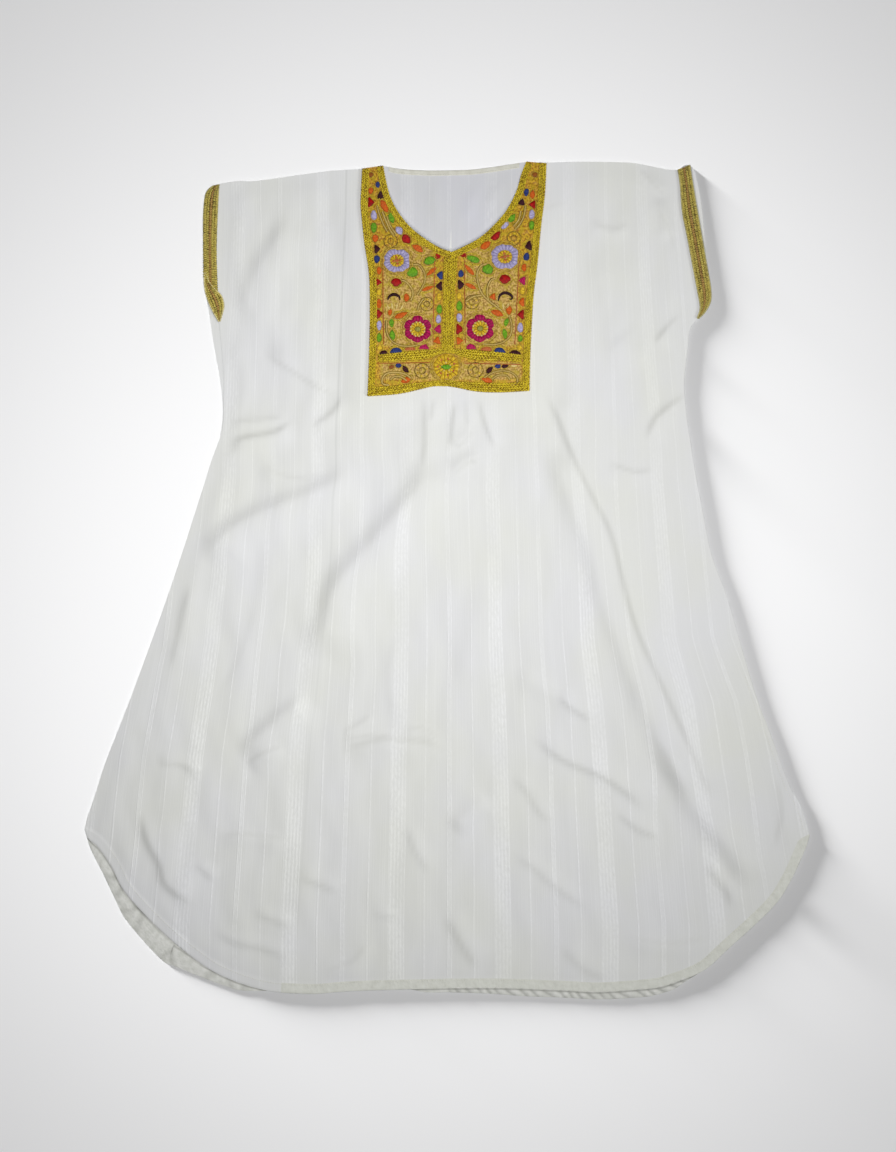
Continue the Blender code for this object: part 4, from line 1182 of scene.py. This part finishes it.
# %% [markdown]
# The borders run round the panel's edge, round the neck, down the closed placket and across
# below the flowers. The placket is two bands that meet in a seam.

# %% Gold borders
BORDER_WIDTH, NECK_BORDER_WIDTH = 9.0, 8.5
BORDER_FOOT_INNER = points_in("-94,251 -64,253 -32,257 -14,259 1,260 16,258 40,257 70,256 98,258")
PLACKET = lines_in("""
-4,419 -5,364 -7,300
14,419 10,364 9,300
""")
CROSS_BAR_TOP = points_in("-90,293 -61,296 -29,299 3,301 36,299 69,296 97,293")
CROSS_BAR_FOOT = points_in("-90,284 -61,285 -29,287 -9,294 0,295 9,294 36,286 69,285 97,283")

left_side = edge(YOKE_SIDE, "left")[::-1]
right_side = edge(YOKE_SIDE, "right")
foot = chain(edge(YOKE_FOOT, "left", 30), edge(YOKE_FOOT, "right", 30)[::-1])
inner_foot = smooth_line(BORDER_FOOT_INNER, len(foot))
outer = chain(left_side, foot, right_side)
inner = chain(np.vstack([left_side[:-1] + (BORDER_WIDTH, 0), inner_foot[:1]]), inner_foot,
              np.vstack([inner_foot[-1:], right_side[1:] - (BORDER_WIDTH, 0)]))
couched_rows("yoke_border_cords", outer, inner, 4, "yoke_border")

neck = chain(edge(NECKLINE, "left", 80)[::-1], edge(NECKLINE, "right", 80))
couched_rows("neck_border_cords", neck, neck - NECK_BORDER_WIDTH * left_hand(neck), 4,
             "neck_border")
couched_rows("placket_cords", smooth_line(PLACKET[0], 40), smooth_line(PLACKET[1], 40), 7,
             "placket")
couched_rows("cross_bar_cords", smooth_line(CROSS_BAR_TOP, 60), smooth_line(CROSS_BAR_FOOT, 60),
             4, "cross_bar")

# %% [markdown]
# ## Silk stitches
# The leaves, buds, teeth and dots are satin stitch: silk threads laid side by side over a
# little padding. Each is a low dome inside an outline, and the outline is a curve of one
# angle. Threads run along the motif's width, so its weave map is its own two lengths. The
# shades are those of old silk on such yokes.

# %% Silk finishes
SILK_THREAD = 0.0013
# Light and dark tone of each silk; the dark tone also serves as painted shade
SILKS = {
    "lilac": ((198, 190, 226), (118, 110, 150)),
    "magenta": ((196, 22, 96), (112, 4, 48)),
    "red": ((186, 18, 14), (92, 2, 4)),
    "green": ((122, 178, 30), (50, 100, 8)),
    "orange": ((220, 104, 22), (156, 60, 8)),
    "plum": ((66, 12, 26), (28, 4, 12)),
    "blue": ((48, 66, 134), (16, 24, 62)),
    "yellow": ((242, 208, 50), (146, 102, 12)),
    "salmon": ((200, 112, 62), (150, 74, 34)),
    "brown": ((164, 98, 36), (100, 50, 16)),
    "olive": ((168, 160, 72), (96, 90, 28)),
    "cream": ((230, 208, 138), (176, 146, 70)),
}


def silk(name, light, dark):
    """Silk satin stitch: fine threads side by side, with light and dark lengths, and painted shade
    where the painted light is low.
    """
    finish = Finish(name, roughness=0.45, specular=0.2)
    across, _ = finish.read_weave()
    threads = finish.wave(across, SILK_THREAD)
    mottle = finish.noise((640.0, 240.0), 3.0)
    share = finish.ramp(finish.math("MULTIPLY_ADD", threads, 0.13, mottle), 0.26, 0.64)
    # Painted shade: the silk goes to its dark tone where the painted light is low.
    share = finish.math("MULTIPLY", share, finish.carried("painted_light"))
    finish.paint(finish.mix(share, linear(dark), linear(light)))
    finish.bump(finish.math("MULTIPLY_ADD", threads, 0.5, mottle), 0.00035, 0.8)
    return finish.material


SILK = {name: silk(name + "_silk", *shades) for name, shades in SILKS.items()}
print("silks:", ", ".join(SILK))

# %% Motif outlines
PAD_RINGS = np.array((1.0, 0.97, 0.86, 0.66, 0.4, 0.12))
PAD_ANGLES, OUTLINE_POINTS = 26, 45
PAD_RISE, PAD_SINK = 1.05, 0.25
# Each motif's silk is read from another place of the weave map
WEAVE_SHIFT = 3.7


def uneven(x, y, turn, seed):
    """A hand-stitched outline: its radius wanders by two sines that start at the seed."""
    wander = 1 + 0.05 * np.sin(3 * turn + seed) + 0.035 * np.sin(7 * turn + 2.3 * seed)
    return x * wander, y * wander


def outline(shape, turn):
    """Outline of a motif of half length 1 and half width 1 at each angle.

    A dot is a circle. A leaf is a circle whose width falls to points at its two ends. A tooth
    is a rounded triangle with its base on the left. A hill is the upper half of a circle.
    A bud is a circle that is waisted at its middle.
    """
    x, y = np.cos(turn), np.sin(turn)
    if shape == "leaf":
        return x, y * np.abs(y) ** 0.75
    if shape == "tooth":
        return np.maximum(x, -0.55) * 1.25 - 0.15, y * (1 - 0.55 * np.clip(x + 0.2, 0, 1))
    if shape == "hill":
        return x, np.where(y > 0, 1.7 * y - 0.7, -0.7)
    if shape == "bud":
        return x * (0.86 + 0.14 * np.cos(4 * turn)), y * (0.9 + 0.1 * np.cos(2 * turn))
    return x, y


def turned(x, y, angle):
    """A flat shape turned by an angle in radians."""
    return x * np.cos(angle) - y * np.sin(angle), x * np.sin(angle) + y * np.cos(angle)


# %% [markdown]
# The table lists the small motifs: silk, outline, place, length and width, and the turn in
# degrees. They are ordinary teeth, dots and leaves of couched yokes, set at their places on the
# garment, and drawn afresh from the outlines above.

# %% Table of small motifs
Motif = namedtuple("Motif", "silk shape place size turn")


def read_motif(row):
    """One motif from its row: silk, outline, place, length and width, and turn."""
    silk_name, shape, *numbers = row.split()
    x, y, length, width, turn = map(float, numbers)
    return Motif(silk_name, shape, (x, y), (length, width), turn)


MOTIFS = [read_motif(row) for row in rows_in("""
# Left strap
brown dot -99 527 6.5 6.5 0
blue dot -90 514 8.5 6 90
orange dot -99 506 9 6.5 80
plum tooth -86 500 11 10.5 90
red tooth -99 491 8.5 13.5 0
orange leaf -81 486 19 10 -62
lilac dot -95 474 13 8 95
green leaf -72 471 16 9 100
green dot -95 458 13.5 8 92
lilac leaf -62 454 13 9 -55
orange dot -93 444 10 8 90
red leaf -53 443 15 11 -50
orange leaf -38 431 17 8 -32
# Right strap
brown dot 114 527 7 7 0
blue dot 103 504 10.5 6.5 80
orange leaf 111 501 12 7 85
plum tooth 97 491 9 9.5 80
red tooth 111 488 9 11 180
lilac dot 110 475 12.5 7.5 85
green dot 110 461 12 7.5 85
green leaf 84 470 14 8 50
lilac dot 75 461 13 7.5 38
red leaf 63 447 16 10 42
orange leaf 50 435 17 9 35
# Field by the left border
plum tooth -91 430 8 12 0
blue dot -91 417 10.5 8 90
orange dot -88 402 10.5 6.5 90
red tooth -89 387 8 9.5 0
yellow dot -88 374 9 6.5 90
orange dot -88 359 13 6.5 90
red tooth -88 346 8 13 0
lilac dot -88 331 13 6.5 90
green dot -88 315 12 6.5 90
yellow dot -87 302 8 6.5 90
# Field by the right border
plum tooth 106 434 9 14 190
blue dot 103 420 10.5 8 80
orange dot 100 406 10.5 6.5 90
magenta tooth 98 389 9 12 180
yellow dot 98 376 10.5 6.5 90
orange tooth 97 361 8 13 180
red tooth 96 345 9 13 180
lilac dot 95 328 13 7.5 90
green dot 95 314 9 6.5 90
yellow dot 94 302 8 6.5 90
# Fields on both sides of the placket
red dot -12 421 8.5 7 70
blue tooth -9 396 8.5 12 180
plum tooth -10 382 9 12.5 180
yellow dot -10 368 10.5 6 90
green dot -10 352 12 7.5 90
lilac dot -11 339 11.5 7 90
magenta tooth -12 326 9.5 12 180
orange tooth -13 311 9 10.5 200
red tooth 22 423 9 9 70
blue dot 18 398 9.5 7.5 90
plum tooth 18 384 9.5 13 0
yellow dot 16 369 10.5 6 90
green dot 16 356 13 8 90
lilac dot 16 341 12 7.5 90
red tooth 16 326 10 14.5 0
orange tooth 16 311 9 10.5 0
# Row that stands on the cross bar
plum hill -82 295 11 8 0
blue hill -66 298 15.5 9 0
salmon hill -48 301 14.5 7 0
magenta hill -30 303 13 8.5 0
magenta hill 31 303 13 8.5 0
salmon hill 51 300 15.5 7 0
blue hill 68 298 15.5 9 0
plum hill 88 295 16 8.5 0
# Low band
brown dot -72 277 8 5.5 20
blue dot -63 279 8 6.5 0
plum leaf -54 274 12 6.5 -50
plum leaf 55 273 12 6.5 45
blue dot 66 278 8.5 6 0
plum leaf 75 278 10.5 5.5 10
cream dot 87 279 8.5 5 0
orange leaf -53 260 15.5 7.5 22
orange leaf 52 260 15.5 7 -15
# Leaves and buds in the two panels
green dot -22.5 415 15.5 10.5 15
green dot -45 400 14.5 13 0
green dot 34 417 18 8.5 -20
green dot 53 404 14.5 13 0
orange leaf -20 401 18 5.5 40
orange leaf -25 379 18 5 20
orange leaf 29 403 20 5.8 -48
orange leaf 30.5 382 18 5.5 -25
orange dot -52.5 367 11 7 94
orange leaf -60 344 19 7 22
orange dot -74 348 9 5.5 80
orange tooth 59.5 368 8.4 9.5 180
orange leaf 65 347 18 8 -20
orange leaf 80.5 350.5 12 8 84
green leaf -72 334 12 6.5 95
green leaf -71 318 14.5 8 95
green leaf 77 335 12 6 70
green leaf 75 320 14.5 6.5 100
red bud -66 387 14.5 13.5 0
red bud 75 391 15.5 15 0
""")]
print("small motifs:", len(MOTIFS))

# %% [markdown]
# All motifs of one silk are one joined mesh, as arrays of equal small domes. A gold cord is
# couched round each of them, and these cords are one mesh too.

# %% Small motifs
def outline_points(motif, turn, share=1.0, grow=0.0):
    """A motif's outline, shrunk to a share or grown by a margin: flat lengths, and points."""
    x, y = uneven(*outline(motif.shape, turn), turn, sum(motif.place))
    x, y = share * x * (motif.size[0] / 2 + grow), share * y * (motif.size[1] / 2 + grow)
    return np.stack([x, y], -1), np.stack(turned(x, y, np.radians(motif.turn)), -1) + motif.place


def dome_points(motifs, stand):
    """Domes over the motifs' outlines: height PAD_RISE sqrt(1 - share^2), as one array."""
    turn = np.linspace(0, 2 * np.pi, PAD_ANGLES, endpoint=False)
    share = np.append(PAD_RINGS, 0.0)[:, None]
    weaves, flats = zip(*[outline_points(motif, turn, share) for motif in motifs])
    weaves = [weave + np.array(motif.place) * WEAVE_SHIFT for weave, motif in zip(weaves, motifs)]
    flat = np.array(flats)
    size = np.array([min(motif.size) for motif in motifs])[:, None, None]
    dome = np.sqrt(np.clip(1 - share ** 2, 0, 1)) ** 0.8 * PAD_RISE * np.clip(size / 9, 0.6, 1.1)
    height = on_yoke(flat) - PAD_SINK + stand + dome * np.ones(flat.shape[:-1])
    return np.concatenate([flat, height[..., None]], -1), np.array(weaves)


def add_domes(name, motifs, finish, stand=0.0):
    """One joined mesh of domes, with their undersides closed, that stand this far above."""
    points, weave = dome_points(motifs, stand)
    share = np.append(PAD_RINGS, 0.0)[None, :, None]
    # Painted shade round the rim of each dome, where its painted light falls to 0.2.
    painted_light = np.broadcast_to(1 - 0.8 * share ** 6, points.shape[:3])
    piece = add_piece(name, points.reshape(-1, 3), tube_faces(*points.shape[:3], top=False),
                      finish, weave.reshape(-1, 2), painted_light)
    return piece


for name in SILK:
    chosen = [motif for motif in MOTIFS if motif.silk == name]
    if chosen:
        add_domes(name + "_motifs", chosen, SILK[name])


def outline_paths(motifs, grow):
    """Closed outline of each motif, grown by a margin, as paths of equal counts."""
    turn = np.linspace(0, 2 * np.pi, OUTLINE_POINTS)
    return np.array([outline_points(motif, turn, grow=grow)[1] for motif in motifs])


EDGING_RADIUS, EDGING_PITCH = 0.5, 1.8
paths = outline_paths(MOTIFS, EDGING_RADIUS)
edging = add_cords("motif_edging", paths, np.full(paths.shape[:2], EDGING_RADIUS), on_yoke(paths),
                   EDGING_PITCH, np.ones(len(paths)), OUTLINE_GOLD, swell=0.12)

# %% [markdown]
# ## Flowers
# Two lilac and two magenta flowers are the highest work on the yoke: a ring of padded silk
# petals, and a yellow middle of small petals round a knot. The outline of a flower is a
# circle that swells once for each petal. The rosette below the placket is yellow, with cream
# and salmon knots round a green bud.

# %% Flowers
# Half width, share of it that is the half height, and how square the outline is
Flower = namedtuple("Flower", "node place radius flat square hole lobes strokes ring slot")
FLOWERS = (
    Flower("flower_lilac_left", (-65, 415), 17.3, 0.89, 0.05, 9.2, 8, 20, "lilac",
           "lilac_thread"),
    Flower("flower_lilac_right", (75, 420), 18.0, 0.91, 0.04, 9.6, 8, 20, "lilac",
           "lilac_thread"),
    Flower("flower_magenta_left", (-38, 326), 18.4, 0.95, 0.0, 10.0, 6, 24, "magenta",
           "magenta_thread"),
    Flower("flower_magenta_right", (43, 327), 18.8, 0.96, 0.0, 10.2, 6, 24, "magenta",
           "magenta_thread"),
    Flower("rosette", (-1, 277), 16.8, 0.98, 0.0, 10.0, 9, 18, "yellow",
           "gold_couching"),
)
LOBE_DEPTH = {6: 0.19, 8: 0.06, 9: 0.09, 12: 0.2}
FLOWER_ANGLES = 144
GAP_SHARE, HEART_STAND = 0.75, 1.1


def ring_of_petals(flower, outer, inner, lobes, strokes, rise, phase):
    """A padded ring of silk strokes between two radii, with its crown values.

    Round it the edge is scalloped by |cos(lobes x angle / 2)|, and it wanders by two slow
    sines. Across it is a half round. It dips between strokes, by |cos(strokes x angle / 2)|.
    """
    turn = np.linspace(0, 2 * np.pi, FLOWER_ANGLES, endpoint=False)[None]
    q = np.linspace(0, 1, 9)[:, None]
    scallop = np.abs(np.cos(lobes * (turn - phase) / 2)) ** 0.6
    wander = 0.025 * np.sin(5 * turn + flower.place[0]) + 0.02 * np.sin(11 * turn + lobes)
    shape = 1 - flower.square * np.cos(4 * turn) + wander
    edge_radius = outer * shape * (1 - LOBE_DEPTH[lobes] * (1 - scallop))
    radius = inner + (edge_radius - inner) * q
    stroke = np.abs(np.cos(strokes * (turn - phase) / 2)) ** 0.6
    height = rise * np.sin(np.pi * (0.06 + 0.88 * q)) ** 0.7 * (GAP_SHARE + 0.25 * stroke)
    height *= 1 - 0.3 * (1 - scallop) * q
    flat = np.stack([radius * np.cos(turn), flower.flat * radius * np.sin(turn)], -1)
    weave = np.stack([turn * outer * np.ones_like(q), radius], -1)
    # Painted light: shaded between strokes and towards the ring's edges, and mottled at random.
    mottled = 0.16 * np.sin(23 * turn + 9 * q) * np.sin(11 * q + 7 * turn)
    painted_light = np.clip(stroke * (1.1 - 0.35 * np.abs(2 * q - 1) ** 3) + mottled, 0, 1)
    return flat + flower.place, height, weave, painted_light


def add_ring(name, grid, silk_name):
    """A closed ring from its upper grid, its underside a flat ring."""
    flat, height, weave, painted_light = grid
    base = on_yoke(flat) - PAD_SINK
    upper = np.concatenate([flat, (base + height)[..., None]], -1)
    lower = np.concatenate([flat, base[..., None] - 0.05], -1)
    faces = grid_faces(1, *flat.shape[:2], wrap=True)
    points = np.vstack([upper.reshape(-1, 3), lower.reshape(-1, 3)])
    faces = shell_faces(faces, flat.shape[0] * flat.shape[1])
    piece = add_piece(name, points, faces, SILK[silk_name], np.vstack([weave.reshape(-1, 2)] * 2),
                      np.tile(painted_light.ravel(), 2))
    return piece


def knots_round(place, radius, count, size, silk_name, phase=0.4):
    """Small round knots at even angles on a circle."""
    angles = phase + np.linspace(0, 2 * np.pi, count, endpoint=False)
    places = np.array(place) + radius * np.column_stack([np.cos(angles), np.sin(angles)])
    return [Motif(silk_name, "dot", tuple(spot), (size, size), 0) for spot in places]


for flower in FLOWERS:
    phase = np.pi / flower.lobes if flower.lobes == 8 else np.pi / 2
    petals = ring_of_petals(flower, flower.radius, flower.hole, flower.lobes, flower.strokes,
                            2.0, phase)
    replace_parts(add_ring(flower.node + "_petals", petals, flower.ring), flower.node)
    rays = ring_of_petals(flower, flower.hole + 0.2, 3.4, 12, 12, 1.5, 0.0)
    add_ring(flower.node + "_middle", rays, "yellow")

hearts = {
    "olive": [Motif("olive", "dot", flower.place, (7.6, 7.0), 0) for flower in FLOWERS[2:4]],
    "green": [Motif("green", "bud", FLOWERS[4].place, (15.0, 8.0), 0)],
    "salmon": [Motif("salmon", "dot", flower.place, (5.0, 4.4), 0) for flower in FLOWERS[:2]],
    "cream": [],
}
for flower in FLOWERS[:2]:
    hearts["salmon"] += knots_round(flower.place, 4.6, 4, 3.4, "salmon", 0.2)
for flower in FLOWERS[2:4]:
    hearts["cream"] += knots_round(flower.place, 0.92 * flower.hole, 12, 2.6, "cream", 0.2)
hearts["cream"] += knots_round(FLOWERS[4].place, 5.6, 5, 2.2, "cream")
hearts["salmon"] += knots_round(FLOWERS[4].place, 11.5, 7, 3.4, "salmon")
for name, motifs in hearts.items():
    add_domes(name + "_hearts", motifs, SILK[name], HEART_STAND)

# %% [markdown]
# ## Scrolls
# Stems and scrolls are pairs of fine gold cord with a lighter strand between. Wheels are two
# rings of cord with small knots between them. The plum arches are thick silk that thins at
# its ends, and a fan of thin leaves stands under each.

# %% Scrolls and wheels
SCROLLS = lines_in("""
-45,409.5 -37,409.5 -32,404.5 -28.7,397 -28.7,388.5 -32,381 -38.5,370
-60,389.5 -54,388 -48,382 -44.5,375 -44.5,369 -47,363
-79,338 -78,322 -72,311 -61,305 -47,304 -32,307
52,411 45,408.5 40,402 39,395 40,387 43,377 47,370 55,362 63,356 72,349
62,392 57,389.5 53.5,383 52,375.5 52.5,369 54,364
81,343 84,330 82,318 74,310 62,306 46,307
-46,262 -55,268 -68,270 -79,268 -84,261 -83,255 -75,253
48,263 58,269 70,272 83,270 91,263 90,256 82,253
-52,259 -60,264 -69,264 -74,260
58,261 66,266 76,266 82,261
-91,487 -88,476 -83,463 -77,452
-84,479 -79,466 -74,455 -68,446
-78,473 -74,461 -66,449
102,487 100,474 95,463 88,455
96,480 93,468 86,459
-30,366 -36,358 -38,350
24,362 34,368 45,370
""")
WHEELS = ((-26, 358.5, 8.8), (32.5, 361, 8.9), (-73, 440, 8.8), (87, 444, 8.8), (-32, 272, 9.6),
          (37, 273, 9.8))
FIELD_LINES = lines_in("""
-83,418 -83,365 -82,306
-16,416 -17,365 -18,308
23,416 23,365 24,308
94,420 91,365 88,306
-91,282 -60,282 -22,283
22,282 60,281 96,280
""")
ARCHES = lines_in("""
-77,363 -75,368 -69,371 -62.5,368.5 -61,363.5
66.3,362 68,368.5 71.5,372 77,373 82.4,370.5 84.8,367 83,364.8 80.2,365.6
""")
FANS = (((-76, 354), 120), ((-71, 356), 100), ((-65, 356), 78), ((-59, 354), 58),
        ((67, 354), 118), ((73, 356), 98), ((79, 356), 78))
LINE_POINTS, ARCH_POINTS, RING_POINTS = 70, 40, 60


def add_lines(name, lines, radius, finish, pitch=1.9, swell=0.14):
    """Fine cords along several lines on the yoke."""
    paths = np.array(lines)
    girth = np.full(paths.shape[:2], radius)
    return add_cords(name, paths, girth, on_yoke(paths), pitch, np.ones(len(paths)), finish,
                     swell=swell)


stems = np.array([smooth_line(route, LINE_POINTS) for route in SCROLLS])
aside = left_hand(stems) * 1.2
add_lines("scroll_cords", [*(stems + aside), *(stems - aside)], 0.62, SHADE_GOLD)
add_lines("scroll_middles", stems, 0.85, SILK["cream"])

turn = np.linspace(0, 2 * np.pi, RING_POINTS)
circle = np.column_stack([np.cos(turn), np.sin(turn)])
rings = [np.array((x, y)) + size * share * circle for x, y, size in WHEELS
         for share in (1.0, 0.42)]
add_lines("wheel_cords", rings, 0.7, SHADE_GOLD, pitch=3.0)
knots = [knot for x, y, size in WHEELS
         for knot in knots_round((x, y), 0.7 * size, 6, 2.4, "yellow")]
add_domes("wheel_knots", knots, SILK["yellow"])

fields = [smooth_line(route, 160) for route in FIELD_LINES]
add_lines("field_lines", fields, 0.6, SILK["salmon"])
arches = np.array([smooth_line(route, ARCH_POINTS) for route in ARCHES])
girth = 2.1 * (0.3 + 0.7 * np.sin(np.linspace(0, np.pi, ARCH_POINTS)))
add_cords("plum_arches", arches, np.broadcast_to(girth, arches.shape[:2]),
                  on_yoke(arches), 2.6, np.ones(2), SILK["plum"], swell=0.1)
fans = [Motif("cream", "leaf", place, (10.0, 2.6), angle) for place, angle in FANS]
add_domes("fan_leaves", fans, SILK["cream"])

# Echo lines of gold cord round the flowers and the panel's larger motifs
ECHO_FROM, ECHO_MARGIN = 13.5, 2.6
echoes = [motif for motif in MOTIFS if max(motif.size) > ECHO_FROM]
paths = outline_paths(echoes, ECHO_MARGIN)
add_cords("echo_cords", paths, np.full(paths.shape[:2], 0.6), on_yoke(paths) - 0.15, 2.6,
                  np.ones(len(paths)), COUCHED_GOLD)
halos = [np.array(flower.place) + (flower.radius + grow) * circle * (1, flower.flat)
         for flower in FLOWERS for grow in (1.3, 3.6)]
add_lines("halo_cords", halos, 0.7, OUTLINE_GOLD, pitch=2.6)

# %% [markdown]
# ## Sleeve braid
# Five rows of gold beads, laid side by side on the flat edge of the sleeve, make the braid.
# The middle row is browner, and a pale cord runs along each edge. On the left the braid turns
# under at the underarm, so a short turned end lies across it.

# %% Sleeve braids
# The outer edge of each braid, and then its inner edge
TRIMS = {
    "sleeve_trim_left": """
-303,513 -310,507 -314,498 -316,475 -316,443 -315,394
-296,515 -297,505 -299,463 -300,421 -299,368
""",
    "sleeve_trim_left_turn": """
-315,400 -315,385 -312,369 -304,350 -296,336
-314,402 -309,388 -301,378 -293,369 -290,358 -291,350 -295,336
""",
    "sleeve_trim_right": """
315,540 318,521 322,496 328,461 338,404 342,380 342,363 335,349 326,340
300,534 303,515 306,479 313,443 322,395 326,374 329,354 325,340
""",
}
EDGE_READS, EDGE_RISE = 120, 0.2
TRIM_ROWS, TRIM_PITCH, TRIM_BASE, TURN_RISE, TRIM_EDGE, BEAD_DEPTH = 5, 2.9, 0.85, 1.3, 1.0, 0.5
BROWN_ROW = TRIM_ROWS // 2

for node, table in TRIMS.items():
    first, second = [smooth_line(row, EDGE_READS) for row in lines_in(table)]
    paths, one, other, gap = rows_between(first, second, TRIM_ROWS)
    radius = gap / TRIM_ROWS / 2 * ROW_OVERLAP
    rise = TURN_RISE if node.endswith("turn") else 0.0
    base = np.full(paths.shape[:2], YOKE_BASE + TRIM_BASE + rise)
    gold = np.arange(TRIM_ROWS) != BROWN_ROW
    for part, rows, finish in (("_braid", gold, BRAID_GOLD), ("_middle", ~gold, BRAID_BROWN)):
        braid = add_cords(node + part, paths[rows], radius, base[rows], TRIM_PITCH,
                          np.zeros(rows.sum()), finish, 0.2, 0.6, BEAD_DEPTH)
        if finish is BRAID_GOLD:
            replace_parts(braid, node)
    edges = np.stack([one, other])
    # The turned end's edge cords take the painted-highlight copy of the pale gold.
    edge_finish = TURN_GOLD_LIT if rise else PALE_GOLD
    edging = add_cords(node + "_edges", edges, np.full(edges.shape[:2], TRIM_EDGE),
                       base[:2] + EDGE_RISE, TRIM_PITCH, np.ones(2), edge_finish, 0.1, 0.8, 0.3)

# %% [markdown]
# ## Cloth facts
# The front and the back are each one cut of cloth.

# %% [markdown]
# ## Camera, floor and light
# The garment is seen from straight above, so the camera looks down from 4 m with a long
# lens. The floor is plain and pale. A large soft lamp above lights the garment, and a spot
# lamp gives the floor a pool of light that falls off towards the corners. A window on the
# right, which is a soft sun here, shapes the folds. The back's inner side has the same sun
# with shadows of its own, so the front doesn't darken it. A low sun from the upper left draws
# the soft shadow on the floor to the right of the garment and below it, and only the two
# cloths cast that shadow.

# %% Camera and floor
FRAME_LONG_SIDE, FRAME_CENTRE, CAMERA_HEIGHT = 1.4976, (0.0013, 0.00585), 4.0
FLOOR_HALF, FLOOR_HEIGHT = 6, -0.0003

camera_data = bpy.data.cameras.new("camera")
camera_data.sensor_width = 36.0
camera_data.lens = 36.0 * CAMERA_HEIGHT / FRAME_LONG_SIDE
camera = bpy.data.objects.new("camera", camera_data)
camera.location = (*FRAME_CENTRE, CAMERA_HEIGHT)
scene = bpy.context.scene
scene.collection.objects.link(camera)
bpy.context.scene.camera = camera
scene.view_settings.view_transform = "Standard"

floor_mesh = bpy.data.meshes.new("floor")
corners = [(x * FLOOR_HALF, y * FLOOR_HALF, FLOOR_HEIGHT)
           for x, y in ((-1, -1), (1, -1), (1, 1), (-1, 1))]
floor_mesh.from_pydata(corners, [], [(0, 1, 2, 3)])
paper = Finish("floor_paper", roughness=0.9)
paper.paint((0.86, 0.86, 0.865, 1.0))
floor_mesh.materials.append(paper.material)
floor = bpy.data.objects.new("floor", floor_mesh)
scene.collection.objects.link(floor)
floor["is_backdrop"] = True

# %% Lights
world = bpy.data.worlds.new("studio")
world.use_nodes = True
backdrop = world.node_tree.nodes["Background"].inputs
backdrop["Color"].default_value = (1.0, 1.0, 1.0, 1.0)
backdrop["Strength"].default_value = 0.10
scene.world = world


def group(name, objects):
    """A collection of objects, which a light falls on or which cast its shadows."""
    chosen = bpy.data.collections.new(name)
    for item in objects:
        chosen.objects.link(item)
    return chosen


def add_light(name, kind, place, power, lit=None, target=(0, 0, 0), casters=None, **settings):
    """A light that looks at a point.

    It may fall on chosen objects alone, and chosen objects alone may cast its shadows.
    """
    data = bpy.data.lights.new(name, kind)
    data.energy = power
    for key, value in settings.items():
        setattr(data, key, value)
    light = bpy.data.objects.new(name, data)
    light.location = place
    away = light.location - Vector(target)
    light.rotation_mode = "QUATERNION"
    light.rotation_quaternion = away.to_track_quat("Z", "Y")
    scene.collection.objects.link(light)
    if lit is not None:
        light.light_linking.receiver_collection = lit
    if casters is not None:
        light.light_linking.blocker_collection = casters


lit_floor = group("lit_floor", [floor])
lit_garment = group("lit_garment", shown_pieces())
add_light("lamp_above", "AREA", (0.0, 0.12, 1.05), 10.7, lit_garment, target=(0, 0.12, 0),
          shape="DISK", size=0.9)
inner_cloth = group("inner_cloth", [back_cloth])
outer_pieces = group("outer_pieces", [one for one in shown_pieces() if one != back_cloth])
for name, lit, casters in (("sun_right", outer_pieces, None),
                           ("sun_right_inner", inner_cloth, inner_cloth)):
    add_light(name, "SUN", (2.0, -0.7, 1.15), 1.15, lit, casters=casters,
              angle=np.radians(16), color=(0.985, 0.995, 1.0))
add_light("pool", "SPOT", (0.0, 0.0, 2.4), 165.0, lit_floor,
          spot_size=np.radians(52), spot_blend=1.0, shadow_soft_size=0.5)
cloths = group("cloths", [front_cloth, back_cloth])
add_light("low_sun", "SUN", (-3.0, 2.4, 0.205), 27.0, lit_floor, casters=cloths,
          angle=np.radians(8.5))
